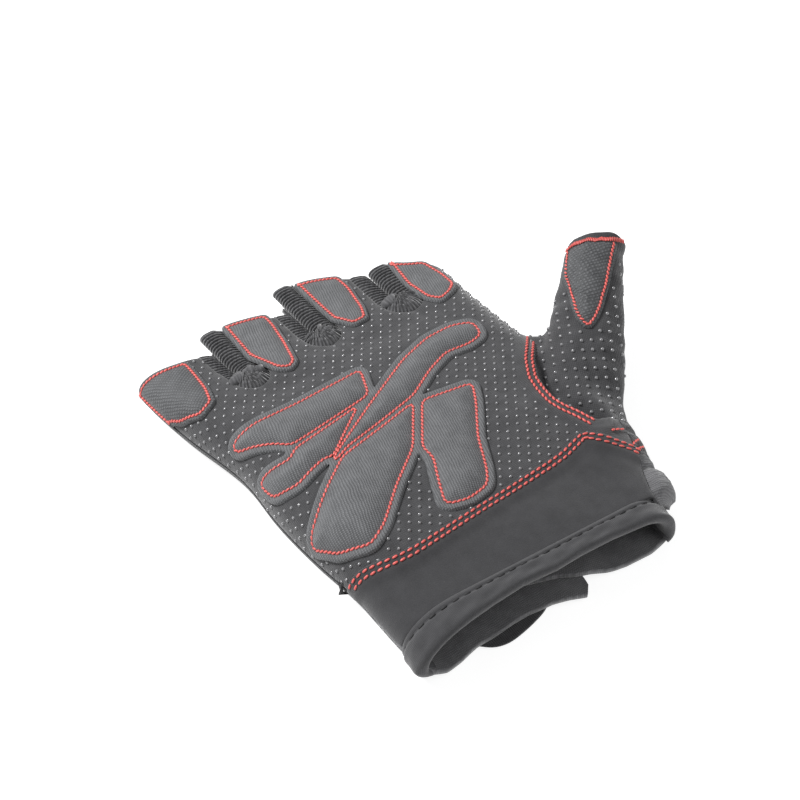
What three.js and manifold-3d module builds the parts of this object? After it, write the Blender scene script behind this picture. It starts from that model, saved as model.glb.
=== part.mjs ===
// Fingerless weightlifting glove for the right hand, lying palm up.
// Millimetres. X runs towards the thumb, Y towards the fingers, Z up.
// The wrist's lip is at y = 0 inside the glove group, and the surface it lies on is z = 0.

import * as THREE from 'three';
import { mergeVertices } from 'three/addons/utils/BufferGeometryUtils.js';
import Module from 'manifold-3d';

const wasm = await Module();
wasm.setup();

// Driving sizes

const GLOVE_LENGTH = 131;
const KNUCKLE_WIDTH = 100;
const PALM_HEIGHT = 17.5;
const CLOTH = 1.6;
const GAP = 0.3;
const BAND_DEPTH = 20;
const BINDING_DEPTH = 7;
const BINDING_CLOTH = 2.4;
const OVERLAY_CLOTH = 1.0;
const CELL_RISE = 1.3;
const OVERLAY_BORDER = 2.3;
const CELL_INSET = 0.5;
const PATCH_CLOTH = 1.3;
const GUSSET_WIDTH = 12.2;
const GUSSET_FLOOR = 1.9;
const FINGER_GAP = 0.5;
const HEM_SETBACK = 2.4;
const STRAP_CLOTH = 1.2;
const THUMB_WIDTH = 26;
const THUMB_SIDES = 14;
const TAB_END = 12;
const TAB_OVERLAP = 17;

// Smallest thickness kept where the palm side meets the back, and a reach past everything

const PINCH = 0.2;
const FAR = 300;

// Where things lie across and along, as shares of the two plan sizes

const across = (share) => share * KNUCKLE_WIDTH;
const along = (share) => share * GLOVE_LENGTH;
const CROTCH = along(0.832);
const WEB_START = along(0.672);
const PALM_START = BINDING_DEPTH + BAND_DEPTH;
const REST_CENTRE = along(0.5);
const UNDER_ROLL = across(0.08);
const PAST_HEMS = 1.04;
const HEM_MARGIN = across(0.1);
const COVER_START = along(0.19);
const COVER_END = along(0.74);
const PATCH_START = along(0.7);

// Body sections: left, right and both rolls are shares of the knuckle width,
// crown and edge are shares of the palm's height

const BODY_SECTIONS = [
  { along: -0.02, left: -0.388, right: 0.392, crown: 0.85, rollLeft: 0.20, rollRight: 0.10, edge: 0.30 },
  { along: 0.06, left: -0.402, right: 0.450, crown: 0.88, rollLeft: 0.20, rollRight: 0.13, edge: 0.30 },
  { along: 0.12, left: -0.406, right: 0.490, crown: 0.90, rollLeft: 0.19, rollRight: 0.15, edge: 0.29 },
  { along: 0.21, left: -0.412, right: 0.525, crown: 0.94, rollLeft: 0.18, rollRight: 0.16, edge: 0.28 },
  { along: 0.32, left: -0.436, right: 0.545, crown: 1.00, rollLeft: 0.16, rollRight: 0.16, edge: 0.28 },
  { along: 0.44, left: -0.452, right: 0.505, crown: 1.00, rollLeft: 0.14, rollRight: 0.14, edge: 0.28 },
  { along: 0.58, left: -0.456, right: 0.480, crown: 0.97, rollLeft: 0.12, rollRight: 0.11, edge: 0.30 },
  { along: 0.74, left: -0.506, right: 0.466, crown: 0.86, rollLeft: 0.11, rollRight: 0.09, edge: 0.32 },
  { along: 0.86, left: -0.534, right: 0.466, crown: 0.76, rollLeft: 0.10, rollRight: 0.08, edge: 0.34 },
  { along: PAST_HEMS, left: -0.556, right: 0.468, crown: 0.71, rollLeft: 0.09, rollRight: 0.08, edge: 0.34 },
];

// Fingers, little to index: inner and outer creases as shares of the width at the knuckles,
// hem as a share of the length, tilt as the hem's slope across

const FINGERS = [
  { name: 'little', from: 0, to: 0.231, hem: 0.955, tilt: 0.03 },
  { name: 'ring', from: 0.231, to: 0.500, hem: 0.970, tilt: -0.2 },
  { name: 'middle', from: 0.500, to: 0.772, hem: 1.0, tilt: -0.32 },
  { name: 'index', from: 0.772, to: 1, hem: 0.945, tilt: -0.4 },
];

// Thumb, root to hem: centre as shares of width, length and palm height,
// wide and high as shares of the thumb's width

const THUMB = [
  { x: 0.40, y: 0.400, z: 0.54, wide: 1.00, high: 0.56 },
  { x: 0.49, y: 0.430, z: 0.62, wide: 1.02, high: 0.72 },
  { x: 0.56, y: 0.472, z: 0.80, wide: 0.96, high: 0.78 },
  { x: 0.65, y: 0.545, z: 1.14, wide: 0.80, high: 0.70 },
  { x: 0.745, y: 0.626, z: 1.53, wide: 0.64, high: 0.60 },
];

// Seams and edges in plan, as [share of knuckle width, share of length]

const BAND_SEAM = [
  [-0.70, 0.226], [-0.39, 0.226], [-0.23, 0.198], [-0.146, 0.190], [-0.04, 0.200],
  [0.136, 0.211], [0.256, 0.228], [0.34, 0.247], [0.372, 0.240], [0.404, 0.208], [0.433, 0.180],
];
const SIDE_RIDGE = [[0.365, 0.03], [0.375, 0.069], [0.40, 0.115], [0.433, 0.180]];
const SIDE_SEAM = [[0.433, 0.180], [0.457, 0.228], [0.465, 0.256]];
const THUMB_SEAM = [
  [0.367, 0.256], [0.350, 0.290], [0.330, 0.321], [0.318, 0.351], [0.320, 0.390],
  [0.330, 0.431], [0.365, 0.481], [0.410, 0.525], [0.449, 0.564],
];
const THUMB_FOOT = [[0.57, 0.27], [0.47, 0.256]];
const WEB_CORNER = [0.7, 0.75];

// Padded cells of the palm, by their stitch lines

const CELLS = {
  knuckle: [
    [-0.443, 0.626], [-0.230, 0.634], [-0.030, 0.649], [-0.065, 0.573], [-0.338, 0.531],
    [-0.360, 0.550], [-0.443, 0.607],
  ],
  edge: [
    [-0.440, 0.492], [-0.440, 0.519], [-0.363, 0.500], [-0.336, 0.519], [-0.113, 0.557],
    [-0.265, 0.460], [-0.290, 0.466], [-0.385, 0.440], [-0.435, 0.462],
  ],
  bar: [
    [0.335, 0.641], [0.327, 0.599], [0.280, 0.589], [0.200, 0.591], [0.122, 0.563],
    [0.032, 0.519], [-0.220, 0.466], [-0.267, 0.447], [-0.272, 0.454], [-0.090, 0.544],
    [-0.022, 0.573], [0.090, 0.624], [0.193, 0.653], [0.277, 0.659],
  ],
  heel: [
    [0.017, 0.502], [-0.070, 0.401], [-0.088, 0.387], [-0.180, 0.330], [-0.283, 0.256],
    [-0.332, 0.237], [-0.398, 0.271], [-0.430, 0.321], [-0.425, 0.340], [-0.262, 0.439],
    [-0.247, 0.448],
  ],
  thumbSide: [
    [0.041, 0.497], [0.190, 0.482], [0.158, 0.433], [0.090, 0.352], [0.044, 0.270],
    [0.017, 0.238], [-0.050, 0.228], [-0.110, 0.240], [-0.074, 0.311], [-0.050, 0.351],
    [-0.056, 0.383],
  ],
};

// Patches of the finger fronts, as [u across the finger, share of length]

const TIP_PATCHES = {
  little: [
    [-0.97, 0.912], [-0.55, 0.932], [0.18, 0.926], [0.16, 0.78],
    [-0.02, 0.744], [-0.55, 0.750], [-0.86, 0.79],
  ],
  ring: [
    [-0.52, 0.955], [-0.1, 0.950], [0.38, 0.936], [0.30, 0.80],
    [0.12, 0.760], [-0.30, 0.760], [-0.60, 0.82],
  ],
  middle: [
    [-0.62, 0.990], [0, 0.970], [0.35, 0.945], [0.20, 0.82],
    [-0.02, 0.797], [-0.40, 0.800], [-0.60, 0.85],
  ],
  index: [
    [-0.42, 0.950], [0.1, 0.918], [0.52, 0.897], [0.60, 0.81],
    [0.25, 0.775], [-0.20, 0.770], [-0.52, 0.83],
  ],
};

// Thumb patch, as shares of the thumb's width: across it, and down from its hem

const THUMB_PATCH = [
  [-0.30, -0.12], [0.30, -0.12], [0.31, -0.36], [0.22, -0.80],
  [0.06, -1.22], [-0.06, -1.22], [-0.24, -0.80], [-0.31, -0.36],
];

// Knit strips between the fingers: where each starts, as a share of the length

const GUSSETS = [
  { name: 'gusset_little_ring', start: 0.733, width: 0.95 },
  { name: 'gusset_ring_middle', start: 0.768, width: 0.98 },
  { name: 'gusset_middle_index', start: 0.762, width: 1.12 },
];

// Closure strap under the wrist, as [share of knuckle width, share of length]

const STRAP_OUTLINE = [
  [-0.25, 0.115], [-0.25, 0.03], [-0.20, -0.002], [-0.15, -0.018],
  [-0.08, -0.015], [0.0, 0.008], [0.03, 0.04], [0.03, 0.115],
];

// Corner radii of the sewn-on sheets

const CELL_CORNER = across(0.02);
const PATCH_CORNER = across(0.03);
const STRAP_CORNER = across(0.04);
const THUMB_PATCH_CORNER = THUMB_WIDTH * 0.08;

const COLUMNS = { top: 8, under: 4 };
const INNER_COLUMNS = { top: 6, under: 3 };

// Rows of the palm, shares of the length, close together where the webs turn down

const PALM_ROWS = [0.06, 0.12, 0.2, 0.27, 0.34, 0.41, 0.48, 0.55, 0.62, 0.68, 0.73, 0.77, 0.80, 0.825];
const FINGER_ROWS = [0, 0.35, 0.7, 1];

const smooth = (t) => {
  const s = Math.min(1, Math.max(0, t));
  return s * s * (3 - 2 * s);
};

// Roll of a cloth edge: 0 at the edge and 1 past the roll

const roll = (t, power = 2.2) => {
  const s = Math.min(1, Math.max(0, t));
  return (1 - (1 - s) ** power) ** (1 / power);
};

// One body section at any y, by cubic pieces through the table

function section(y) {
  const rows = BODY_SECTIONS;
  const t = y / GLOVE_LENGTH;
  let i = 0;
  while (i < rows.length - 2 && t > rows[i + 1].along) i += 1;
  const a = rows[i];
  const b = rows[i + 1];
  const span = b.along - a.along;
  const s = Math.min(1, Math.max(0, (t - a.along) / span));
  const value = (name) => {
    const before = rows[Math.max(0, i - 1)];
    const after = rows[Math.min(rows.length - 1, i + 2)];
    const slopeA = ((b[name] - before[name]) / (b.along - before.along)) * span;
    const slopeB = ((after[name] - a[name]) / (after.along - a.along)) * span;
    const s2 = s * s;
    const s3 = s2 * s;
    return (2 * s3 - 3 * s2 + 1) * a[name] + (s3 - 2 * s2 + s) * slopeA
      + (3 * s2 - 2 * s3) * b[name] + (s3 - s2) * slopeB;
  };
  return {
    left: across(value('left')),
    right: across(value('right')),
    crown: value('crown') * PALM_HEIGHT,
    rollLeft: across(value('rollLeft')),
    rollRight: across(value('rollRight')),
    edge: value('edge') * PALM_HEIGHT,
    floor: (STRAP_CLOTH + GAP) * smooth((along(0.25) - y) / along(0.12)),
  };
}

// Share of the way down that the web between two fingers has reached

const webDepth = (y) => {
  const s = Math.min(1, Math.max(0, (y - WEB_START) / (CROTCH - WEB_START)));
  return 1 - Math.sqrt(1 - s ** 2.5);
};

// Heights of the palm side and of the back, at x and y, u from -1 to 1 across finger f

function heights({ f, u, x, y, inset, depth }) {
  const at = section(y);
  const creaseSide = (f > 0 && u < 0) || (f < FINGERS.length - 1 && u > 0);
  const bend = Math.min(1, Math.abs(u));
  const arch = (power) => (creaseSide ? 1 - depth * (1 - (1 - bend ** power) ** (1 / power)) : 1);
  const inLeft = x - at.left - inset;
  const inRight = at.right - inset - x;
  const top = roll(inLeft / at.rollLeft) * roll(inRight / at.rollRight) * arch(2.4);
  const under = roll(inLeft / UNDER_ROLL) * roll(inRight / UNDER_ROLL) * arch(4);
  return {
    top: at.edge + (at.crown - inset - at.edge) * top,
    under: at.edge + (at.floor + inset - at.edge) * under,
  };
}

// One row of points over the palm side or along the back, left to right

function row(fingers, y, side, options) {
  const { inset = 0, slit = 0, depth, lift = 0 } = options;
  const count = (inset > 0 ? INNER_COLUMNS : COLUMNS)[side];
  const at = section(y);
  const width = at.right - at.left;
  return fingers.flatMap((f, order) => {
    const finger = FINGERS[f];
    const from = at.left + finger.from * width + (f === 0 ? inset : slit);
    const to = at.left + finger.to * width - (f === FINGERS.length - 1 ? inset : slit);
    const points = [];
    for (let k = order === 0 ? 0 : 1; k <= count; k += 1) {
      const u = -Math.cos((Math.PI * k) / count);
      const x = (from + to) / 2 + (u * (to - from)) / 2;
      const z = heights({ f, u, x, y, inset, depth })[side];
      const tilt = finger.tilt * smooth((y - CROTCH) / (along(finger.hem) - CROTCH));
      points.push(new THREE.Vector3(x, y + (tilt * u * (to - from)) / 2, z + lift));
    }
    return points;
  });
}

function ring(fingers, y, options) {
  return [
    ...row(fingers, y, 'top', { ...options, lift: PINCH }),
    ...row(fingers, y, 'under', { ...options, lift: -PINCH }).reverse(),
  ];
}

// Closed solids

const together = (solids) => solids.reduce((sum, solid) => sum.add(solid));

function solidOf(vertices, triangles) {
  const geometry = new THREE.BufferGeometry();
  const numbers = vertices.flatMap((v) => v.toArray());
  geometry.setAttribute('position', new THREE.Float32BufferAttribute(numbers, 3));
  geometry.setIndex(triangles.flat());
  return solidFrom(geometry);
}

function solidFrom(source) {
  const bare = source.clone();
  bare.deleteAttribute('normal');
  bare.deleteAttribute('uv');
  const merged = mergeVertices(bare, 1e-5);
  const mesh = new wasm.Mesh({
    numProp: 3,
    vertProperties: new Float32Array(merged.attributes.position.array),
    triVerts: new Uint32Array(merged.index.array),
  });
  return new wasm.Manifold(mesh);
}

// Rings of equal count, one behind another along Y, joined into a solid with flat ends

function loft(given) {
  const flat = (ring) => ring.map((p) => new THREE.Vector2(p.x, p.z));
  const clockwise = THREE.ShapeUtils.isClockWise(flat(given[0]));
  const rings = clockwise ? given : given.map((points) => [...points].reverse());
  const count = rings[0].length;
  const lastStart = (rings.length - 1) * count;
  const triangles = [];
  for (let i = 0; i < rings.length - 1; i += 1) {
    for (let k = 0; k < count; k += 1) {
      const a = i * count + k;
      const b = i * count + ((k + 1) % count);
      triangles.push([a, b, a + count], [b, b + count, a + count]);
    }
  }
  const cap = (points) => THREE.ShapeUtils.triangulateShape(flat(points), []);
  cap(rings[0]).forEach(([a, b, c]) => triangles.push([a, b, c]));
  cap(rings[rings.length - 1]).forEach((corner) => {
    triangles.push(corner.map((i) => i + lastStart).reverse());
  });
  return solidOf(rings.flat(), triangles);
}

// A cloth sheet lying over rows of points, between two heights above them

function sheet(rows, low, high) {
  const count = rows[0].length;
  const raised = (lift) => rows.flat().map((p) => new THREE.Vector3(p.x, p.y, p.z + lift));
  const total = rows.length * count;
  const triangles = [];
  for (let i = 0; i < rows.length - 1; i += 1) {
    for (let k = 0; k < count - 1; k += 1) {
      const a = i * count + k;
      const b = a + 1;
      triangles.push([a, a + count, b], [b, a + count, b + count]);
      triangles.push([a + total, b + total, a + count + total]);
      triangles.push([b + total, b + count + total, a + count + total]);
    }
  }
  const rim = [];
  for (let k = 0; k < count; k += 1) rim.push(k);
  for (let i = 1; i < rows.length; i += 1) rim.push(i * count + count - 1);
  for (let k = count - 2; k >= 0; k -= 1) rim.push((rows.length - 1) * count + k);
  for (let i = rows.length - 2; i > 0; i -= 1) rim.push(i * count);
  rim.forEach((a, i) => {
    const b = rim[(i + 1) % rim.length];
    triangles.push([a, b, a + total], [b, b + total, a + total]);
  });
  return solidOf([...raised(low), ...raised(high)], triangles);
}

// Upright prism on an outline of [x, y] points

function prism(points, bottom = -FAR, top = FAR) {
  const shape = new THREE.Shape(points.map(([x, y]) => new THREE.Vector2(x, y)));
  const geometry = new THREE.ExtrudeGeometry(shape, { depth: top - bottom, bevelEnabled: false });
  geometry.translate(0, 0, bottom);
  return solidFrom(geometry);
}

// Everything between two heights that follow the glove's length

function layer(lowAt, highAt) {
  const rings = [];
  for (let t = -0.1; t <= 1.2; t += 0.1) {
    const y = along(t);
    rings.push([
      new THREE.Vector3(-FAR, y, lowAt(y)),
      new THREE.Vector3(-FAR, y, highAt(y)),
      new THREE.Vector3(FAR, y, highAt(y)),
      new THREE.Vector3(FAR, y, lowAt(y)),
    ]);
  }
  return loft(rings);
}

// Outlines moved outwards, and with their corners rounded

function moved(points, distance) {
  const area = THREE.ShapeUtils.area(points.map(([x, y]) => new THREE.Vector2(x, y)));
  const sign = Math.sign(area);
  return points.map(([x, y], i) => {
    const [px, py] = points[(i + points.length - 1) % points.length];
    const [nx, ny] = points[(i + 1) % points.length];
    const before = new THREE.Vector2(y - py, px - x).normalize();
    const after = new THREE.Vector2(ny - y, x - nx).normalize();
    const middle = before.clone().add(after).normalize();
    const reach = (sign * distance) / Math.max(0.5, middle.dot(before));
    return [x + middle.x * reach, y + middle.y * reach];
  });
}

function rounded(points, radius) {
  return points.flatMap(([x, y], i) => {
    const corner = new THREE.Vector2(x, y);
    const towards = (j) => {
      const other = new THREE.Vector2(...points[(j + points.length) % points.length]);
      const distance = other.distanceTo(corner);
      return corner.clone().lerp(other, Math.min(0.45, radius / distance));
    };
    const start = towards(i - 1);
    const end = towards(i + 1);
    const curve = new THREE.QuadraticBezierCurve(start, corner, end);
    return curve.getPoints(2).map((p) => [p.x, p.y]);
  });
}

// The hand: outer form and hollow

const ALL = FINGERS.map((_, f) => f);
const slitSide = FINGER_GAP / 2;

function palmRings(inset, rows) {
  return rows.map((y) => ring(ALL, y, { inset, depth: webDepth(y + inset) }));
}

function fingerRings(f, inset, start, past) {
  const hem = along(FINGERS[f].hem);
  return FINGER_ROWS.map((t) => {
    const y = start + (hem + past - start) * t;
    return ring([f], y, { inset, slit: slitSide + inset, depth: 1 });
  });
}

const palmRows = PALM_ROWS.map(along);
const outerRows = [0, ...palmRows, CROTCH];
const everyOther = palmRows.filter((y, i) => i % 2 === 0 && y < CROTCH - 2 * CLOTH);
const innerRows = [-BINDING_DEPTH, ...everyOther, CROTCH - CLOTH];

const thumbAxis = THUMB.map((t) => new THREE.Vector3(across(t.x), along(t.y), t.z * PALM_HEIGHT));

const thumbTip = thumbAxis[thumbAxis.length - 1];
const thumbAlong = thumbTip.clone().sub(thumbAxis[0]).normalize();
const thumbSide = new THREE.Vector3(thumbAlong.y, -thumbAlong.x, 0).normalize();
const thumbUp = thumbSide.clone().cross(thumbAlong);

function thumbRings(inset, past) {
  return THUMB.map((t, i) => {
    const centre = thumbAxis[i].clone();
    if (i === THUMB.length - 1) centre.addScaledVector(thumbAlong, past);
    const wide = (t.wide * THUMB_WIDTH) / 2 - inset;
    const high = (t.high * THUMB_WIDTH) / 2 - inset;
    const points = [];
    for (let k = 0; k < THUMB_SIDES; k += 1) {
      const angle = (2 * Math.PI * k) / THUMB_SIDES;
      const point = centre.clone();
      point.addScaledVector(thumbSide, Math.cos(angle) * wide);
      point.addScaledVector(thumbUp, Math.sin(angle) * high);
      points.push(point);
    }
    return points;
  });
}

const handOuter = together([
  loft(palmRings(0, outerRows)),
  ...ALL.map((f) => loft(fingerRings(f, 0, palmRows[palmRows.length - 1], 0))),
  loft(thumbRings(0, 0)),
]);

const handInner = together([
  loft(palmRings(CLOTH, innerRows)),
  ...ALL.map((f) => loft(fingerRings(f, CLOTH, CROTCH - 3 * CLOTH, CLOTH))),
  loft(thumbRings(CLOTH, CLOTH)),
]);

const wall = handOuter.subtract(handInner);

// Regions that share the wall out between the pieces

const plan = (points) => points.map(([x, y]) => [across(x), along(y)]);
const half = GAP / 2;
const edgeAt = (y) => section(y).edge;
const palmSide = layer((y) => edgeAt(y) + half, () => FAR);
const backSide = layer(() => -FAR, (y) => edgeAt(y) - half);
const block = (x0, x1, y0, y1) => [[x0, y0], [x1, y0], [x1, y1], [x0, y1]];

const bandSeam = plan(BAND_SEAM);
const thumbSeam = plan(THUMB_SEAM);
const sideRidge = plan(SIDE_RIDGE);
const sideSeam = plan(SIDE_SEAM);
const ridgeFoot = [sideRidge[0][0], -FAR];

const bandRegion = [
  [-FAR, 0], ...bandSeam, ...sideRidge.slice(0, -1).reverse(), [sideRidge[0][0], 0],
];
const sideRegion = [
  ridgeFoot, ...sideRidge, [FAR, sideRidge[sideRidge.length - 1][1]], [FAR, -FAR],
];
const sideBackRegion = [...sideSeam, ...[...sideSeam].reverse().map(([, y]) => [FAR, y])];
const thumbRegion = [
  ...thumbSeam, [FAR, FAR], [FAR, along(THUMB_FOOT[0][1])], ...plan(THUMB_FOOT),
];
const palmRegion = [
  ...bandSeam, ...sideSeam.slice(1), ...thumbSeam,
  ...plan([WEB_CORNER]), [across(WEB_CORNER[0]), FAR], [-FAR, FAR],
];
const region = (points) => prism(moved(points, -half));

// Knit strips between the fingers

function gussetOutline({ start, width }, f, extra) {
  const reach = (GUSSET_WIDTH * width) / 2 + extra;
  const crease = (y) => {
    const at = section(y);
    return at.left + FINGERS[f].to * (at.right - at.left);
  };
  const top = along(start) - extra;
  const points = [];
  for (let k = 0; k <= 6; k += 1) {
    const angle = Math.PI * (1 + k / 6);
    points.push([crease(top) + Math.cos(angle) * reach, top + reach + Math.sin(angle) * reach]);
  }
  const end = along(PAST_HEMS);
  points.push([crease(end) + reach, end], [crease(end) - reach, end]);
  return points;
}

const gussetPrism = (gusset, f, extra) => prism(gussetOutline(gusset, f, extra), GUSSET_FLOOR - extra);
const gussetSolids = GUSSETS.map((gusset, f) => wall.intersect(gussetPrism(gusset, f, 0)));
const gussetRoom = together(GUSSETS.map((gusset, f) => gussetPrism(gusset, f, GAP)));

// Palm panel, thumb and back

const frontHems = together(FINGERS.map((finger) => {
  const at = section(along(finger.hem));
  const width = at.right - at.left;
  const from = at.left + finger.from * width - (finger.from === 0 ? HEM_MARGIN : 0);
  const to = at.left + finger.to * width + (finger.to === 1 ? HEM_MARGIN : 0);
  const hem = along(finger.hem) - HEM_SETBACK;
  const drop = (finger.tilt * (to - from)) / 2;
  return prism([[from, hem - drop], [to, hem + drop], [to, FAR], [from, FAR]]);
}));

const palmPanel = wall.intersect(palmSide).intersect(region(palmRegion))
  .subtract(gussetRoom).subtract(frontHems);
const thumbSleeve = wall.intersect(palmSide).intersect(region(thumbRegion));
const backPanel = wall.intersect(backSide.add(prism(sideBackRegion)))
  .intersect(prism(block(-FAR, FAR, PALM_START + half, FAR)))
  .subtract(palmSide.intersect(prism(moved(palmRegion, half)).add(prism(moved(thumbRegion, half)))))
  .subtract(gussetRoom);

// Wrist band, its binding and the two flaps behind

const bandSolid = wall.intersect(palmSide).intersect(region(bandRegion))
  .intersect(prism(block(-FAR, FAR, BINDING_DEPTH + half, FAR)));

function bindingForm(inset, rows) {
  return loft(rows.map(([y, grow]) => ring(ALL, y, { inset: inset - grow, depth: 0 })));
}

const lip = BINDING_CLOTH / 3;
const bindingOuter = [[-lip, 0], [0, lip], [BINDING_DEPTH - lip, lip], [BINDING_DEPTH - half, 0]];
const bindingInner = [[-2 * lip, lip], [0, lip], [BINDING_DEPTH, lip], [BINDING_DEPTH + lip, lip]];
const bindingSolid = bindingForm(0, bindingOuter).subtract(bindingForm(BINDING_CLOTH, bindingInner))
  .intersect(palmSide);

const cuffEnd = PALM_START - half;
const flapLittle = wall.intersect(backSide)
  .intersect(prism([[-FAR, 0], [TAB_END, 0], [TAB_END - BINDING_CLOTH, cuffEnd], [-FAR, cuffEnd]]));

const cuffRows = [0, ...palmRows.filter((y) => y < PALM_START)];
const underRows = cuffRows.map((y) => row(ALL, y, 'under', { depth: 0, lift: -PINCH }));
const underSheet = (x0, x1, low, high) => sheet(underRows, low, high)
  .intersect(prism(block(x0, x1, 0, cuffEnd)));
const tabFloor = CLOTH + GAP + PINCH;
const tabTop = tabFloor + CLOTH;
const tabBend = TAB_END + 2 * CLOTH;
const flapThumb = wall.intersect(backSide).intersect(prism(block(TAB_END + GAP, FAR, 0, cuffEnd)))
  .add(wall.intersect(region(sideRegion)).intersect(prism(block(0, FAR, BINDING_DEPTH + half, cuffEnd))))
  .add(underSheet(TAB_END + GAP, tabBend, CLOTH / 2, tabTop))
  .add(underSheet(TAB_END - TAB_OVERLAP, tabBend, tabFloor, tabTop));

const strapSolid = prism(rounded(plan(STRAP_OUTLINE), STRAP_CORNER), 0, STRAP_CLOTH);

// Overlay with its raised cells, and the patches

const coverRow = (fingers) => (y) => row(fingers, y, 'top', { depth: webDepth(y), lift: PINCH });
const coverRows = palmRows.filter((y) => y > COVER_START && y < COVER_END).map(coverRow(ALL));
const overlayBase = sheet(coverRows, GAP, GAP + OVERLAY_CLOTH);
const overlayRaised = sheet(coverRows, GAP + OVERLAY_CLOTH / 2, GAP + OVERLAY_CLOTH + CELL_RISE);
const overlaySolid = together(Object.values(CELLS).map(plan).map((cell) => {
  const edge = prism(rounded(moved(cell, OVERLAY_BORDER), CELL_CORNER));
  const raised = prism(rounded(moved(cell, -CELL_INSET), CELL_CORNER));
  return overlayBase.intersect(edge).add(overlayRaised.intersect(raised));
}));

function tipPatch(f) {
  const finger = FINGERS[f];
  const hem = along(finger.hem);
  const start = palmRows[palmRows.length - 1];
  const fingerRow = (y) => row([f], y, 'top', { depth: 1, slit: slitSide, lift: PINCH });
  const rows = [
    ...palmRows.filter((y) => y > PATCH_START).map(coverRow([f])),
    fingerRow(CROTCH),
    ...FINGER_ROWS.slice(1).map((t) => fingerRow(start + (hem - start) * t)),
  ];
  const outline = TIP_PATCHES[finger.name].map(([u, share]) => {
    const y = along(share);
    const at = section(y);
    const from = at.left + finger.from * (at.right - at.left);
    const to = at.left + finger.to * (at.right - at.left);
    return [(from + to) / 2 + (u * (to - from)) / 2, y];
  });
  return sheet(rows, GAP, GAP + PATCH_CLOTH).intersect(prism(rounded(outline, PATCH_CORNER)));
}

function thumbPatch() {
  const shell = loft(thumbRings(-GAP - PATCH_CLOTH, 0)).subtract(loft(thumbRings(-GAP, 0)));
  const outline = THUMB_PATCH.map(([x, y]) => [x * THUMB_WIDTH, y * THUMB_WIDTH]);
  const corners = rounded(outline, THUMB_PATCH_CORNER).map(([x, y]) => new THREE.Vector2(x, y));
  const shape = new THREE.Shape(corners);
  const geometry = new THREE.ExtrudeGeometry(shape, { depth: 2 * THUMB_WIDTH, bevelEnabled: false });
  const frame = new THREE.Matrix4().makeBasis(thumbSide, thumbAlong, thumbUp).setPosition(thumbTip);
  geometry.applyMatrix4(frame);
  return shell.intersect(solidFrom(geometry));
}

// The scene graph

function finish(colour, roughness) {
  return new THREE.MeshStandardMaterial({ color: colour, roughness, metalness: 0 });
}

function meshOf(name, solid, colour, roughness) {
  const { vertProperties, triVerts } = solid.getMesh();
  const geometry = new THREE.BufferGeometry();
  geometry.setAttribute('position', new THREE.Float32BufferAttribute(Array.from(vertProperties), 3));
  geometry.setIndex(Array.from(triVerts));
  geometry.computeVertexNormals();
  const mesh = new THREE.Mesh(geometry, finish(colour, roughness));
  mesh.name = name;
  return mesh;
}

const SUEDE = '#3c3d40';
const KNIT = '#232427';
const RIBBED = '#5d5e61';

const glove = new THREE.Group();
glove.position.y = -REST_CENTRE;
glove.add(
  meshOf('palm_panel', palmPanel, SUEDE, 0.9),
  meshOf('thumb_sleeve', thumbSleeve, SUEDE, 0.9),
  meshOf('back_panel', backPanel, KNIT, 0.95),
  ...GUSSETS.map(({ name }, f) => meshOf(name, gussetSolids[f], KNIT, 0.95)),
  meshOf('palm_overlay', overlaySolid, RIBBED, 0.75),
  ...FINGERS.map(({ name }, f) => meshOf(`tip_patch_${name}`, tipPatch(f), RIBBED, 0.75)),
  meshOf('tip_patch_thumb', thumbPatch(), RIBBED, 0.75),
  meshOf('wrist_band', bandSolid, SUEDE, 0.9),
  meshOf('wrist_binding', bindingSolid, KNIT, 0.95),
  meshOf('closure_flap_little', flapLittle, KNIT, 0.95),
  meshOf('closure_flap_thumb', flapThumb, KNIT, 0.95),
  meshOf('closure_strap', strapSolid, KNIT, 0.95),
);

export default glove;
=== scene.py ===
# Fingerless weightlifting glove for the right hand, lying palm up.
# Lengths are millimetres in the glove's own plan: x towards the thumb, y from the wrist's lip
# to the fingers, z up. place() turns them into the frame's metres.

import math

import bpy
import numpy as np
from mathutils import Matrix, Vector
from mathutils.geometry import delaunay_2d_cdt
from mathutils.bvhtree import BVHTree
from mathutils.kdtree import KDTree


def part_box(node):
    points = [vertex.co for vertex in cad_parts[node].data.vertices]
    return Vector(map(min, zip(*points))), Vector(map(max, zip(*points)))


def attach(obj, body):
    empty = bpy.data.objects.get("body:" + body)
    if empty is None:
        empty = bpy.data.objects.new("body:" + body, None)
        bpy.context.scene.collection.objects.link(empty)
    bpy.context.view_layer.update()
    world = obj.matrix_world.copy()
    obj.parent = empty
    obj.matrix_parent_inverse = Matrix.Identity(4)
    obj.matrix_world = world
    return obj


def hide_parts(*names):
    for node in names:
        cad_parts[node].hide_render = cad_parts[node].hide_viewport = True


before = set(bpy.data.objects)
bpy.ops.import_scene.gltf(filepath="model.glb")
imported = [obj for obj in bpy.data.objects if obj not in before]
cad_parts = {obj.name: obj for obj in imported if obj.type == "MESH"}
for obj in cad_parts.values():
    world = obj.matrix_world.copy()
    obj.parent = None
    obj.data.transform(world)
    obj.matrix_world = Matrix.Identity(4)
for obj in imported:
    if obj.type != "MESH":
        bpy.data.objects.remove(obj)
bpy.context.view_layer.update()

MM = 0.001
TINY = 1e-9


def node_span(node):
    low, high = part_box(node)
    return np.array(low) / MM, np.array(high) / MM


# Sizes, read from the frame's nodes

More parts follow.
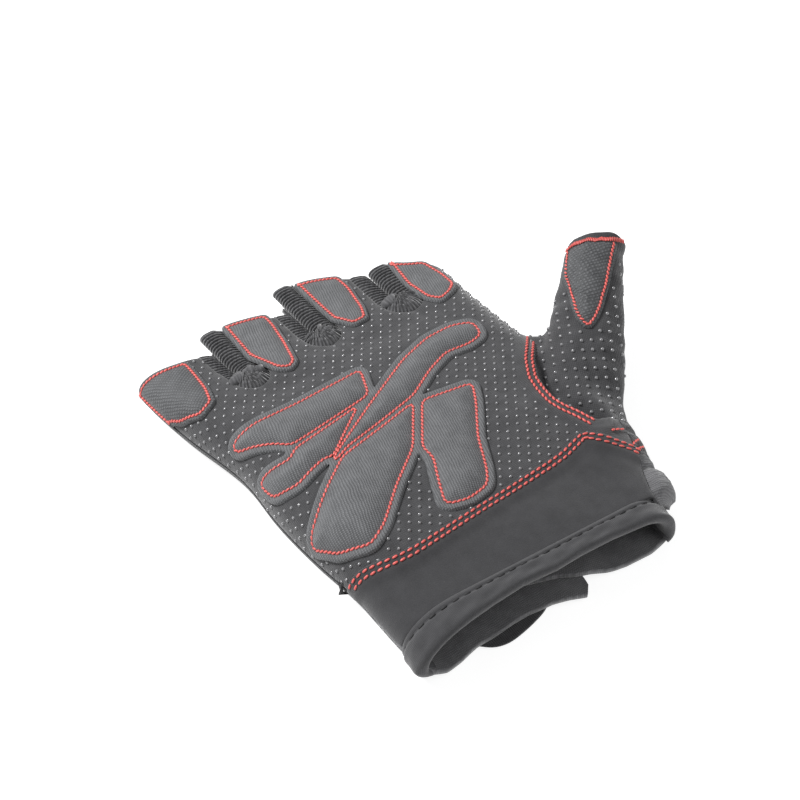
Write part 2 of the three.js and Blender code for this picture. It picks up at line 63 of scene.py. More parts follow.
palm_low, palm_high = node_span("palm_panel")
flap_low, flap_high = node_span("closure_flap_little")
strap_low, strap_high = node_span("closure_strap")
WRIST_Y = flap_low[1]
LENGTH = -2 * WRIST_Y
PALM_SPAN_SHARE = 1.024
WIDTH = (palm_high[0] - palm_low[0]) / PALM_SPAN_SHARE
PINCH = 0.2
HEIGHT = palm_high[2] - PINCH
STRAP = strap_high[2] - strap_low[2]
TAB_END = flap_high[0]
BAND_TOP = flap_high[1] - WRIST_Y
CLOTH = 1.5
GAP = 0.3
BINDING = 7.0
SLIT = 0.25
CROTCH = 0.832 * LENGTH
WEB_START = 0.672 * LENGTH
UNDER_ROLL = 0.08 * WIDTH
ROLL_POWER = 2.2
THUMB_WIDTH = 26.0

# Body sections: along, left, right, crown, left roll, right roll, edge,
# as shares of the length, the width across the knuckles and the palm's height

SECTIONS = np.array([
    [-0.02, -0.388, 0.368, 0.85, 0.16, 0.10, 0.30],
    [0.06, -0.402, 0.450, 0.88, 0.17, 0.13, 0.30],
    [0.12, -0.406, 0.474, 0.90, 0.19, 0.15, 0.29],
    [0.21, -0.412, 0.503, 0.94, 0.18, 0.16, 0.28],
    [0.32, -0.436, 0.530, 1.00, 0.16, 0.16, 0.28],
    [0.44, -0.452, 0.498, 1.00, 0.14, 0.14, 0.28],
    [0.58, -0.456, 0.470, 0.97, 0.12, 0.11, 0.30],
    [0.74, -0.506, 0.450, 0.86, 0.11, 0.09, 0.32],
    [0.86, -0.534, 0.448, 0.76, 0.10, 0.08, 0.34],
    [1.04, -0.556, 0.446, 0.71, 0.09, 0.08, 0.34],
])

# Fingers, little to index: creases across as shares of the local width, and the hems along
# y with their slopes, on the back and then on the front

FINGER_NAMES = ["little", "ring", "middle", "index"]
CREASES = np.array([0, 0.235, 0.509, 0.787, 1])
HEMS = np.array([0.905, 0.955, 0.99, 0.935]) * LENGTH
HEM_SLOPES = np.array([0.03, -0.2, -0.32, -0.4])
FRONT_HEMS = np.array([118.6, 122.8, 126.9, 119.6])
FRONT_SLOPES = np.array([-0.1, -0.2, -0.40, -0.55])

# The thumb's axis: across, along, height, then its half width and half height as shares
# of the half of THUMB_WIDTH

THUMB = np.array([
    [0.40, 0.400, 0.54, 1.00, 0.56],
    [0.49, 0.430, 0.62, 1.02, 0.72],
    [0.56, 0.472, 0.80, 0.88, 0.76],
    [0.65, 0.545, 1.14, 0.765, 0.69],
    [0.745, 0.626, 1.53, 0.62, 0.60],
])

# Seams in plan, as shares of the width and the length

BAND_EDGE_POINTS = [
    (-0.60, 0.250), (-0.44, 0.232), (-0.38, 0.218), (-0.34, 0.205), (-0.30, 0.196),
    (-0.26, 0.192), (-0.22, 0.194), (-0.14, 0.201), (-0.02, 0.211), (0.10, 0.221),
    (0.18, 0.2275), (0.24, 0.2345), (0.29, 0.246), (0.322, 0.254), (0.346, 0.246),
    (0.372, 0.223), (0.40, 0.203), (0.428, 0.184), (0.444, 0.165),
]
SIDE_RIDGE = [(0.365, 0.03), (0.375, 0.069), (0.40, 0.115), (0.436, 0.165)]
SIDE_SEAM = [(0.436, 0.165), (0.452, 0.200), (0.457, 0.228), (0.462, 0.256)]
THUMB_SEAM = [
    (0.367, 0.256), (0.350, 0.290), (0.330, 0.321), (0.318, 0.351), (0.320, 0.390),
    (0.330, 0.431), (0.365, 0.481), (0.410, 0.525), (0.449, 0.564), (0.474, 0.594),
]

# Padded cells of the overlay, as shares of the width and the length

CELLS = {
    "knuckle": [
        (-0.443, 0.626), (-0.230, 0.634), (-0.030, 0.649), (-0.065, 0.573), (-0.338, 0.531),
        (-0.360, 0.550), (-0.443, 0.607),
    ],
    "edge": [
        (-0.440, 0.492), (-0.440, 0.519), (-0.363, 0.500), (-0.336, 0.519), (-0.113, 0.557),
        (-0.265, 0.460), (-0.290, 0.466), (-0.385, 0.440), (-0.435, 0.462),
    ],
    "bar": [
        (0.335, 0.641), (0.327, 0.599), (0.280, 0.589), (0.200, 0.591), (0.122, 0.563),
        (0.032, 0.519), (-0.220, 0.466), (-0.267, 0.447), (-0.272, 0.454), (-0.090, 0.544),
        (-0.022, 0.573), (0.090, 0.624), (0.193, 0.653), (0.277, 0.659),
    ],
    "heel": [
        (0.017, 0.502), (-0.070, 0.401), (-0.088, 0.387), (-0.180, 0.330), (-0.283, 0.256),
        (-0.332, 0.237), (-0.398, 0.271), (-0.430, 0.321), (-0.425, 0.340), (-0.262, 0.439),
        (-0.247, 0.448),
    ],
    "thumb_side": [
        (0.041, 0.497), (0.190, 0.482), (0.158, 0.433), (0.090, 0.352), (0.044, 0.270),
        (0.017, 0.238), (-0.050, 0.228), (-0.110, 0.240), (-0.074, 0.311), (-0.050, 0.351),
        (-0.056, 0.383),
    ],
}

# Finger patches in plan, in millimetres

TIP_PATCHES = {
    "little": [(-54.2, 119.4), (-46, 118.0), (-39.6, 117.2), (-39.4, 111), (-39.8, 103),
               (-41.2, 96.6), (-46.5, 94.6), (-50.6, 99.0), (-53.6, 109)],
    "ring": [(-25.0, 125.2), (-18.7, 123.9), (-11.4, 122.4), (-11.2, 117), (-12.4, 108),
             (-14.6, 98.0), (-18.2, 95.8), (-22.0, 98.4), (-25.0, 108)],
    "middle": [(1.6, 130.2), (9.1, 127.6), (14.6, 125.4), (15.2, 119), (13.6, 108.5),
               (11.6, 103.2), (5.8, 102.6), (2.6, 109), (2.0, 120)],
    "index": [(29.6, 123.4), (33.8, 119.6), (39.2, 116.8), (40.8, 109), (40.6, 102),
              (37.4, 98.4), (32.0, 96.6), (28.8, 101), (28.4, 111)],
}

# Thumb patch by its stitches, and the satin row over its top: across and down from the tip

THUMB_PATCH = [
    (-6.4, -4.6), (-5.9, -9.0), (-5.1, -13.0), (-2.9, -17.7), (-1.4, -21.0), (0.1, -24.2),
    (1.9, -26.8), (4.2, -28.6), (5.4, -25.3), (5.8, -21.2), (5.8, -14.0), (5.3, -6.0), (4.9, -0.8),
]
THUMB_SATIN = [(-6.9, -4.1), (-4.2, -3.3), (-1.4, -2.4), (1.2, -1.5), (3.7, -0.5), (7.0, 1.5)]

# Knit strips: piece, where the U starts as a share of the length, and half its width

GUSSETS = [("gusset_little_ring", 0.733, 5.8), ("gusset_ring_middle", 0.768, 6.0),
           ("gusset_middle_index", 0.762, 6.8)]


# The glove's form

def smooth(t):
    """from 0 to 1, level at both ends"""
    s = np.clip(t, 0, 1)
    return s * s * (3 - 2 * s)


def roll(t):
    """from 0 to 1 in a rounded corner"""
    s = np.clip(t, 0, 1)
    return (1 - (1 - s) ** ROLL_POWER) ** (1 / ROLL_POWER)


def hump(t, middle, width, power=2):
    """1 at the middle, and down to 0 on both sides"""
    return np.exp(-((t - middle) / width) ** power)


def unit(vectors, least=0.0):
    return vectors / (np.linalg.norm(vectors, axis=-1, keepdims=True) + least)


def run_along(line):
    """the length walked at each point of a line"""
    return np.concatenate([[0], np.cumsum(np.hypot(*np.diff(line, axis=0).T))])


def section(y):
    """left, right, crown, rolls, edge and floor of the body at y"""
    t = np.asarray(y, float) / LENGTH
    along = SECTIONS[:, 0]
    last = len(along) - 1
    i = np.clip(np.searchsorted(along, t, side="right") - 1, 0, last - 1)
    a, b = SECTIONS[i], SECTIONS[i + 1]
    before, after = SECTIONS[np.maximum(i - 1, 0)], SECTIONS[np.minimum(i + 2, last)]
    span = (b[..., 0] - a[..., 0])[..., None]
    s = np.clip((t[..., None] - a[..., :1]) / span, 0, 1)
    slope_a = (b - before) / (b[..., :1] - before[..., :1]) * span
    slope_b = (after - a) / (after[..., :1] - a[..., :1]) * span
    v = ((2 * s**3 - 3 * s**2 + 1) * a + (s**3 - 2 * s**2 + s) * slope_a
         + (3 * s**2 - 2 * s**3) * b + (s**3 - s**2) * slope_b)
    floor = (STRAP + GAP) * smooth((0.25 - t) / 0.12)
    return {
        "left": v[..., 1] * WIDTH, "right": v[..., 2] * WIDTH, "crown": v[..., 3] * HEIGHT,
        "roll_left": v[..., 4] * WIDTH, "roll_right": v[..., 5] * WIDTH,
        "edge": v[..., 6] * HEIGHT, "floor": floor,
    }


def web_depth(y):
    """how deep the crease between two fingers is at y, as a share"""
    s = np.clip((np.asarray(y) - WEB_START) / (CROTCH - WEB_START), 0, 1)
    return 1 - np.sqrt(1 - s**2.5)


def finger_at(x, y):
    """finger number and u, from -1 to 1 across it"""
    at = section(y)
    share = (x - at["left"]) / (at["right"] - at["left"])
    f = np.clip(np.searchsorted(CREASES, share, side="right") - 1, 0, 3)
    width = CREASES[f + 1] - CREASES[f]
    u = (share - CREASES[f]) / width * 2 - 1
    return f, np.clip(u, -1, 1)


def form(x, y, side="top", webs=True):
    """height of the palm side or of the back, as on the solids"""
    at = section(y)
    f, u = finger_at(x, y)
    depth = web_depth(y) if webs else 0.0
    crease_side = ((f > 0) & (u < 0)) | ((f < 3) & (u > 0))
    power = 2.4 if side == "top" else 4
    arch = np.where(crease_side, 1 - depth * (1 - (1 - np.abs(u) ** power) ** (1 / power)), 1)
    in_left, in_right = x - at["left"], at["right"] - x
    if side == "top":
        sides = roll(in_left / at["roll_left"]) * roll(in_right / at["roll_right"]) * arch
        return at["edge"] + (at["crown"] - at["edge"]) * sides
    sides = roll(in_left / UNDER_ROLL) * roll(in_right / UNDER_ROLL) * arch
    return at["edge"] + (at["floor"] - at["edge"]) * sides


# Soft unevenness of the cloth: broad swells, and folds as
# (x, y, direction in degrees, length, width, height)

FOLDS = [
    (-30, 47, 58, 26, 5, 0.7), (-12, 38, 80, 14, 4, -0.5), (24, 44, 62, 20, 5, 0.7),
    (12, 31, 12, 16, 3, 0.6), (-30, 31, -8, 14, 3, 0.5), (26, 72, 20, 22, 6, -0.5),
    (-24, 92, 4, 24, 4, -0.5), (10, 95, 8, 26, 4, -0.5), (36, 92, 60, 20, 5, 0.5),
    (-46, 76, 78, 14, 4, 0.5), (2, 15, 4, 34, 6, 0.35), (-26, 16, -14, 20, 5, -0.35),
    (27, 18, 20, 18, 5, -0.4), (38, 30, 50, 12, 3, 0.8),
]


def swell(x, y):
    total = 0.22 * np.sin(x / 9.5 + 0.7 * np.sin(y / 13)) * np.sin(y / 11.5 + 1.3)
    total = total + 0.10 * np.sin(x / 4.3 + y / 6.1 + 2.0) * np.sin(y / 5.2 - x / 9.0)
    for fx, fy, turn, length, width, height in FOLDS:
        c, s = math.cos(math.radians(turn)), math.sin(math.radians(turn))
        run = (x - fx) * c + (y - fy) * s
        off = -(x - fx) * s + (y - fy) * c
        total = total + height * np.exp(-(run / length * 2) ** 2 - (off / width) ** 2)
    return total


def top_height(x, y):
    at = section(y)
    calm = smooth((x - at["left"]) / 8) * smooth((at["right"] - x) / 6) * smooth((y - 5) / 8)
    return form(x, y) + swell(x, y) * calm * (1 - 0.8 * smooth((y - 100) / 10))


def top_normal(x, y):
    d = 0.15
    dx = (top_height(x + d, y) - top_height(x - d, y)) / (2 * d)
    dy = (top_height(x, y + d) - top_height(x, y - d)) / (2 * d)
    dx, dy = np.clip(dx, -6, 6), np.clip(dy, -6, 6)
    return unit(np.stack([-dx, -dy, np.ones_like(dx)], -1))


def on_top(x, y, lift=0.0):
    n = top_normal(x, y)
    p = np.stack([x, y, top_height(x, y)], -1)
    return p + n * np.asarray(lift)[..., None]


# Cloth lengths across the palm side: q is measured along the section, from x = 0

ROW_STEP = 1.0
ROWS = np.arange(-6, 142, ROW_STEP)
SHARES = np.linspace(0, 1, 241)
_at = section(ROWS)
_edge_l, _edge_r = _at["left"], _at["right"]
_x = _edge_l[:, None] + (1 - np.cos(np.pi * SHARES)) / 2 * (_edge_r - _edge_l)[:, None]
_z = form(_x, np.repeat(ROWS[:, None], len(SHARES), 1), webs=False)
_q = np.concatenate([np.zeros((len(ROWS), 1)), np.cumsum(np.hypot(np.diff(_x), np.diff(_z)), 1)], 1)
_q -= np.array([np.interp(0, _x[i], _q[i]) for i in range(len(ROWS))])[:, None]
_inverse = np.array([np.interp(np.linspace(_q[i, 0], _q[i, -1], 601), _q[i], _x[i])
                     for i in range(len(ROWS))])


def bilinear(table, row, column):
    row = np.clip(row, 0, table.shape[0] - 1.001)
    column = np.clip(column, 0, table.shape[1] - 1.001)
    r, c = row.astype(int), column.astype(int)
    fr, fc = row - r, column - c
    return ((table[r, c] * (1 - fc) + table[r, c + 1] * fc) * (1 - fr)
            + (table[r + 1, c] * (1 - fc) + table[r + 1, c + 1] * fc) * fr)


def q_of(x, y):
    at = section(y)
    share = np.clip((x - at["left"]) / (at["right"] - at["left"]), 0, 1)
    column = np.arccos(1 - 2 * share) / np.pi * (len(SHARES) - 1)
    return bilinear(_q, (y - ROWS[0]) / ROW_STEP, column)


def x_of(q, y):
    row = (y - ROWS[0]) / ROW_STEP
    low = np.interp(y, ROWS, _q[:, 0])
    high = np.interp(y, ROWS, _q[:, -1])
    return bilinear(_inverse, row, np.clip((q - low) / (high - low), 0, 1) * 600)


# Outlines

def plan(points):
    return [(x * WIDTH, y * LENGTH) for x, y in points]


def dense(points, step, closed=True):
    p = np.array(points, float)
    if closed:
        p = np.vstack([p, p[:1]])
    length = run_along(p)
    count = max(2, int(round(length[-1] / step)) + (0 if closed else 1))
    at = np.linspace(0, length[-1], count, endpoint=not closed)
    return np.stack([np.interp(at, length, p[:, 0]), np.interp(at, length, p[:, 1])], -1)


def rounded(points, radius, pieces=6):
    out = []
    for i, (x, y) in enumerate(points):
        corner = np.array([x, y])
        ends = []
        for other in (points[i - 1], points[(i + 1) % len(points)]):
            away = np.array(other) - corner
            ends.append(corner + away * min(0.45, radius / np.hypot(*away)))
        for k in range(pieces + 1):
            t = k / pieces
            out.append(tuple((1 - t) ** 2 * ends[0] + 2 * t * (1 - t) * corner + t * t * ends[1]))
    return out


def moved(points, distance):
    """an outline moved outwards by distance"""
    p = np.array(points, float)
    area = np.sum(p[:, 0] * np.roll(p[:, 1], -1) - np.roll(p[:, 0], -1) * p[:, 1])
    edge = np.roll(p, -1, 0) - p
    normal = unit(np.stack([edge[:, 1], -edge[:, 0]], -1) * np.sign(area), TINY)
    before = np.roll(normal, 1, 0)
    middle = unit(normal + before, TINY)
    reach = distance / np.maximum(0.5, np.sum(middle * before, 1))
    return p + middle * reach[:, None]


def inside(points, outline):
    """which of the points lie in the outline"""
    x, y = points[:, 0], points[:, 1]
    result = np.zeros(len(points), bool)
    ox, oy = np.asarray(outline)[:, 0], np.asarray(outline)[:, 1]
    for i in range(len(ox)):
        x1, y1, x2, y2 = ox[i - 1], oy[i - 1], ox[i], oy[i]
        if y1 == y2:
            continue
        crosses = (y1 > y) != (y2 > y)
        result ^= crosses & (x < (x2 - x1) * (y - y1) / (y2 - y1) + x1)
    return result


def distance_to(points, line):
    tree = KDTree(len(line))
    for i, (x, y) in enumerate(line):
        tree.insert((x, y, 0), i)
    tree.balance()
    return np.array([tree.find((x, y, 0))[2] for x, y in points])


# Meshes

def place(points):
    p = np.asarray(points, float).reshape(-1, 3) * MM
    p[:, 1] += WRIST_Y * MM
    return p


MAP_UNIT = 100.0


def make_object(name, points, faces, material, cloth_map, thickness=0.0):
    """a piece with its lengths of cloth as a map, in units of 100 mm, and a wall laid inwards"""
    mesh = bpy.data.meshes.new(name)
    mesh.from_pydata(place(points).tolist(), [], [list(map(int, f)) for f in faces])
    mesh.validate()
    layer = mesh.uv_layers.new(name="cloth")
    loops = np.zeros(len(mesh.loops), int)
    mesh.loops.foreach_get("vertex_index", loops)
    uv = np.asarray(cloth_map, float)[loops] / MAP_UNIT
    layer.data.foreach_set("uv", uv.ravel())
    mesh.shade_smooth()
    piece = bpy.data.objects.new(name, mesh)
    bpy.context.scene.collection.objects.link(piece)
    mesh.materials.append(material)
    if thickness:
        wall = piece.modifiers.new("cloth", "SOLIDIFY")
        wall.thickness = thickness * MM
        wall.offset = -1
    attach(piece, "root")
    return piece


def grid_faces(rows, columns, wrap=False):
    """quads between the rows of a grid of points"""
    faces = []
    for i in range(rows - 1):
        for k in range(columns if wrap else columns - 1):
            a, b = i * columns + k, i * columns + (k + 1) % columns
            faces.append((a, b, b + columns, a + columns))
    return faces


RIMS = (0.3, 0.7)


def flat_cloth(keeps, cuts, step):
    """points, triangles and border of a piece cut from flat cloth: the keeps less the cuts"""
    lines = [dense(o, step) for o in [*keeps, *cuts]]
    points, edges = [], []
    for line in lines:
        base = len(points)
        points += [tuple(p) for p in line]
        edges += [(base + i, base + (i + 1) % len(line)) for i in range(len(line))]
    points = np.array(points)

    def kept(p, slack=0.0):
        inner = np.zeros(len(p), bool)
        for line in lines[:len(keeps)]:
            inner |= inside(p, moved(line, slack) if slack else line)
        for line in lines[len(keeps):]:
            inner &= ~inside(p, moved(line, -slack) if slack else line)
        return inner

    border = points[kept(points, 0.05) & ~kept(points, -0.05)]
    rims = [moved(line, -r) for line in lines[:len(keeps)] for r in RIMS]
    rims += [moved(line, r) for line in lines[len(keeps):] for r in RIMS]
    low, high = points.min(0), points.max(0)
    ys = np.arange(low[1], high[1], step * 0.866)
    gx, gy = np.meshgrid(np.arange(low[0], high[0], step), ys)
    gx = gx + (np.arange(len(ys)) % 2)[:, None] * step / 2
    grid = np.stack([gx.ravel(), gy.ravel()], -1)
    grid = grid[kept(grid)]
    grid = grid[distance_to(grid, border) > RIMS[1] + step * 0.45]
    rims = np.vstack(rims)
    rims = rims[kept(rims)]
    rims = rims[distance_to(rims, border) > RIMS[0] * 0.9]
    everything = [Vector(p) for p in np.vstack([points, rims, grid])]
    verts, _, faces, *_ = delaunay_2d_cdt(everything, edges, [], 0, 1e-4)
    flat = np.array([tuple(v) for v in verts])
    faces = np.array(faces)
    faces = faces[kept(flat[faces].mean(1))]
    used, faces = np.unique(faces, return_inverse=True)
    faces = faces.reshape(-1, 3)
    flat = flat[used]
    a, b, c = flat[faces[0]]
    if (b[0] - a[0]) * (c[1] - a[1]) < (b[1] - a[1]) * (c[0] - a[0]):
        faces = faces[:, ::-1]
    return flat, faces, border


def rim_fall(distance, radius, depth):
    """the fall of a rounded rim, within radius of the border"""
    s = 1 - np.clip(distance / radius, 0, 1)
    return -depth * (1 - np.sqrt(1 - s * s))


def isosurface(field, low, high, step):
    """points and quads where the field passes zero; it is negative inside"""
    axes = [np.arange(a, b, step) for a, b in zip(low, high)]
    grid = np.stack(np.meshgrid(*axes, indexing="ij"), -1)
    shape = grid.shape[:3]
    value = field(grid.reshape(-1, 3)).reshape(shape)
    cells = tuple(n - 1 for n in shape)
    total = np.zeros(cells + (3,))
    count = np.zeros(cells)
    crossings = []
    for axis in range(3):
        a = np.take(value, range(shape[axis] - 1), axis)
        b = np.take(value, range(1, shape[axis]), axis)
        cross = (a < 0) != (b < 0)
        t = np.where(cross, a / np.where(cross, a - b, 1), 0)
        at = np.take(grid, range(shape[axis] - 1), axis).copy()
        at[..., axis] += t * step
        crossings.append((cross, a < 0))
        others = [k for k in range(3) if k != axis]
        for i in (0, 1):
            for j in (0, 1):
                window = [slice(0, n) for n in cells]
                window[others[0]] = slice(i, i + cells[others[0]])
                window[others[1]] = slice(j, j + cells[others[1]])
                hit = cross[tuple(window)]
                total[hit] += at[tuple(window)][hit]
                count[hit] += 1
    index = np.full(cells, -1)
    index[count > 0] = np.arange(int((count > 0).sum()))
    points = total[count > 0] / count[count > 0][:, None]
    quads = []
    for axis, (cross, inner) in enumerate(crossings):
        u, v = [(1, 2), (2, 0), (0, 1)][axis]
        where = np.argwhere(cross)
        where = where[(where[:, u] > 0) & (where[:, v] > 0)]
        where = where[(where[:, u] < cells[u]) & (where[:, v] < cells[v])]
        step_u, step_v = np.eye(3, dtype=int)[u], np.eye(3, dtype=int)[v]
        ring = [index[tuple((where - o).T)] for o in (0 * step_u, step_u, step_u + step_v, step_v)]
        faces = np.stack(ring, -1)
        forward = inner[tuple(where.T)]
        quads.append(np.where(forward[:, None], faces, faces[:, ::-1]))
    return points, np.vstack(quads)


def clip(points, triangles, value):
    """the part of a mesh where value is above zero, cut along the line between"""
    points, value = list(map(tuple, points)), list(value)
    cuts, out = {}, []

    def cut(a, b):
        key = (min(a, b), max(a, b))
        if key not in cuts:
            t = value[a] / (value[a] - value[b])
            points.append(tuple(np.array(points[a]) * (1 - t) + np.array(points[b]) * t))
            value.append(0.0)
            cuts[key] = len(points) - 1
        return cuts[key]

    for triangle in triangles:
        shape = []
        for k in range(3):
            a, b = int(triangle[k]), int(triangle[(k + 1) % 3])
            if value[a] > 0:
                shape.append(a)
            if (value[a] > 0) != (value[b] > 0):
                shape.append(cut(a, b))
        out += [(shape[0], shape[k], shape[k + 1]) for k in range(1, len(shape) - 1)]
    out = np.array(out)
    used, out = np.unique(out, return_inverse=True)
    return np.array(points)[used], out.reshape(-1, 3)


def merge(parts):
    """one mesh from several (points, faces, cloth lengths)"""
    points, faces, flat = [], [], []
    base = 0
    for p, f, m in parts:
        points.append(p)
        faces += [tuple(int(i) + base for i in face) for face in f]
        flat.append(m)
        base += len(p)
    return np.vstack(points), faces, np.vstack(flat)


# Quilted cloth: a groove along a line, and a crown inside it

def quilted(flat, line, groove, groove_width, crown, spread):
    off = distance_to(flat, line)
    crowned = np.where(inside(flat, line), crown * (1 - np.exp(-(off / spread) ** 1.5)), 0)
    return crowned - groove * hump(off, 0, groove_width)


# Materials

def linear(value):
    c = value / 255
    return c / 12.92 if c <= 0.04045 else ((c + 0.055) / 1.055) ** 2.4


def colour(r, g, b):
    return (linear(r), linear(g), linear(b), 1)


class Nodes:
    """adds nodes to a tree and joins them"""

    def __init__(self, tree):
        self.tree = tree

    def add(self, kind, settings=None, **inputs):
        node = self.tree.nodes.new(kind)
        for name, value in (settings or {}).items():
            setattr(node, name, value)
        for name, value in inputs.items():
            self.put(node, name.replace("_", " "), value)
        return node

    def put(self, node, name, value):
        self.join(value, node.inputs[name])

    def join(self, value, socket):
        if isinstance(value, bpy.types.NodeSocket):
            self.tree.links.new(value, socket)
        else:
            socket.default_value = value

    def sum(self, operation, a, b=0.0, c=0.0):
        node = self.add("ShaderNodeMath", {"operation": operation})
        for i, value in enumerate((a, b, c)):
            self.join(value, node.inputs[i])
        return node.outputs[0]

    def mix(self, share, first, second):
        """one colour mixed into another"""
        node = self.add("ShaderNodeMix", {"data_type": "RGBA"})
        for i, value in ((0, share), (6, first), (7, second)):
            self.join(value, node.inputs[i])
        return node.outputs[2]


def group(name, inputs, outputs):
    tree = bpy.data.node_groups.new(name, "ShaderNodeTree")
    for label, kind, value in inputs:
        socket = tree.interface.new_socket(label, in_out="INPUT", socket_type="NodeSocket" + kind)
        if value is not None:
            socket.default_value = value
    for label, kind in outputs:
        tree.interface.new_socket(label, in_out="OUTPUT", socket_type="NodeSocket" + kind)
    nodes = Nodes(tree)
    return nodes, tree.nodes.new("NodeGroupInput").outputs, tree.nodes.new("NodeGroupOutput").inputs


def cloth_grain():
    """mottled cloth: colour between two tones, roughness and a fine nap"""
    n, i, o = group("cloth_grain", [
        ("Cloth", "Vector", None), ("Dark", "Color", (0, 0, 0, 1)), ("Light", "Color", (1, 1, 1, 1)),
        ("Mottle", "Float", 0.3), ("Nap", "Float", 3.0), ("Rough low", "Float", 0.8),
        ("Rough high", "Float", 0.95),
    ], [("Colour", "Color"), ("Roughness", "Float"), ("Height", "Float")])
    broad = n.add("ShaderNodeTexNoise", Vector=i["Cloth"], Scale=i["Mottle"], Detail=6, Roughness=0.6)
    fine = n.add("ShaderNodeTexNoise", Vector=i["Cloth"], Scale=i["Nap"], Detail=4, Roughness=0.7)
    both = n.sum("ADD", n.sum("MULTIPLY", broad.outputs[0], 0.55),
                 n.sum("MULTIPLY", fine.outputs[0], 0.45))
    ramp = n.add("ShaderNodeMapRange", Value=both, From_Min=0.36, From_Max=0.64)
    rough = n.add("ShaderNodeMapRange", Value=broad.outputs[0], From_Min=0.3, From_Max=0.7,
                  To_Min=i["Rough low"], To_Max=i["Rough high"])
    n.join(n.mix(ramp.outputs[0], i["Dark"], i["Light"]), o["Colour"])
    n.join(rough.outputs[0], o["Roughness"])
    n.join(fine.outputs[0], o["Height"])
    return n.tree


def ribs():
    """threads in two directions: ribs across Turn, and finer cross threads; Mask is high on the crests
    and drives the painted shade between them
    """
    n, i, o = group("ribs", [
        ("Cloth", "Vector", None), ("Turn", "Float", 0.0), ("Pitch", "Float", 0.7),
        ("Cross pitch", "Float", 0.5), ("Cross depth", "Float", 0.4), ("Drift", "Float", 0.8),
    ], [("Height", "Float"), ("Mask", "Float")])
    turned = n.add("ShaderNodeVectorRotate", {"rotation_type": "Z_AXIS"}, Vector=i["Cloth"],
                   Angle=n.sum("RADIANS", i["Turn"]))
    wander = n.add("ShaderNodeTexNoise", Vector=i["Cloth"], Scale=0.35, Detail=2)
    split = n.add("ShaderNodeSeparateXYZ", Vector=turned.outputs[0])
    drift = n.sum("MULTIPLY", wander.outputs[0], i["Drift"])
    across = n.sum("DIVIDE", n.sum("ADD", split.outputs[0], drift), i["Pitch"])
    along = n.sum("DIVIDE", split.outputs[1], i["Cross pitch"])
    full = 2 * math.pi
    rib = n.sum("MULTIPLY_ADD", n.sum("COSINE", n.sum("MULTIPLY", across, full)), 0.5, 0.5)
    cross = n.sum("MULTIPLY_ADD", n.sum("COSINE", n.sum("MULTIPLY", along, full)), 0.5, 0.5)
    low = n.sum("SUBTRACT", 1.0, n.sum("MULTIPLY", i["Cross depth"], n.sum("SUBTRACT", 1.0, cross)))
    height = n.sum("MULTIPLY", n.sum("POWER", rib, 0.7), low)
    n.join(height, o["Height"])
    n.join(n.sum("POWER", height, 1.5), o["Mask"])
    return n.tree


def lint():
    """small pale specks of dust and loose fibre, as a mask"""
    n, i, o = group("lint", [("Cloth", "Vector", None), ("Amount", "Float", 0.5)], [("Mask", "Float")])
    specks = n.add("ShaderNodeTexNoise", Vector=i["Cloth"], Scale=1.7, Detail=3, Roughness=0.8)
    patch = n.add("ShaderNodeTexNoise", Vector=i["Cloth"], Scale=0.06, Detail=2)
    peak = n.add("ShaderNodeMapRange", Value=specks.outputs[0], From_Min=0.62, From_Max=0.75)
    mask = n.sum("MULTIPLY", n.sum("MULTIPLY", peak.outputs[0], patch.outputs[0]), i["Amount"])
    n.join(mask, o["Mask"])
    return n.tree


GRAIN, RIBS, LINT = cloth_grain(), ribs(), lint()
LINT_COLOUR = colour(150, 150, 152)


def cloth_material(name, dark, light, rough=(0.8, 0.95), mottle=0.25, nap=3.0, nap_depth=0.06,
                   weave=None, weave_depth=0.1, painted_rib_shade=0.3, drift=0.8, sheen=0.3, dust=0.15):
    """cloth between two tones; weave is turn, pitch, cross pitch and cross depth of its ribs, and the
    rib shade is painted shade, darker between the ribs and lighter on their crests
    """
    material = bpy.data.materials.new(name)
    material.use_nodes = True
    n = Nodes(material.node_tree)
    shader = n.tree.nodes["Principled BSDF"]
    uv = n.add("ShaderNodeUVMap", {"uv_map": "cloth"})
    length = n.add("ShaderNodeVectorMath", {"operation": "SCALE"}, Vector=uv.outputs[0],
                   Scale=MAP_UNIT)
    grain = n.add("ShaderNodeGroup", {"node_tree": GRAIN}, Cloth=length.outputs[0], Dark=dark,
                  Light=light, Mottle=mottle, Nap=nap, Rough_low=rough[0], Rough_high=rough[1])
    dusty = n.add("ShaderNodeGroup", {"node_tree": LINT}, Cloth=length.outputs[0], Amount=dust)
    base = grain.outputs["Colour"]
    height = n.sum("MULTIPLY", grain.outputs["Height"], nap_depth)
    if weave:
        threads = n.add("ShaderNodeGroup", {"node_tree": RIBS}, Cloth=length.outputs[0],
                        Turn=weave[0], Pitch=weave[1], Cross_pitch=weave[2], Cross_depth=weave[3],
                        Drift=drift)
        height = n.sum("MULTIPLY_ADD", threads.outputs["Height"], weave_depth, height)
        # painted shade: the colour darkens in the valleys between the ribs and lightens on their crests
        shade = n.sum("MULTIPLY_ADD", threads.outputs["Mask"], painted_rib_shade * 2, 1 - painted_rib_shade)
        base = n.add("ShaderNodeVectorMath", {"operation": "SCALE"}, Vector=base, Scale=shade)
        base = base.outputs[0]
    n.put(shader, "Base Color", n.mix(dusty.outputs["Mask"], base, LINT_COLOUR))
    n.put(shader, "Roughness", grain.outputs["Roughness"])
    n.put(shader, "Sheen Weight", sheen)
    n.put(shader, "Sheen Roughness", 0.5)
    n.put(shader, "Specular IOR Level", 0.25)
    bump = n.add("ShaderNodeBump", Height=height, Distance=0.001, Strength=1.0)
    n.put(shader, "Normal", bump.outputs[0])
    return material


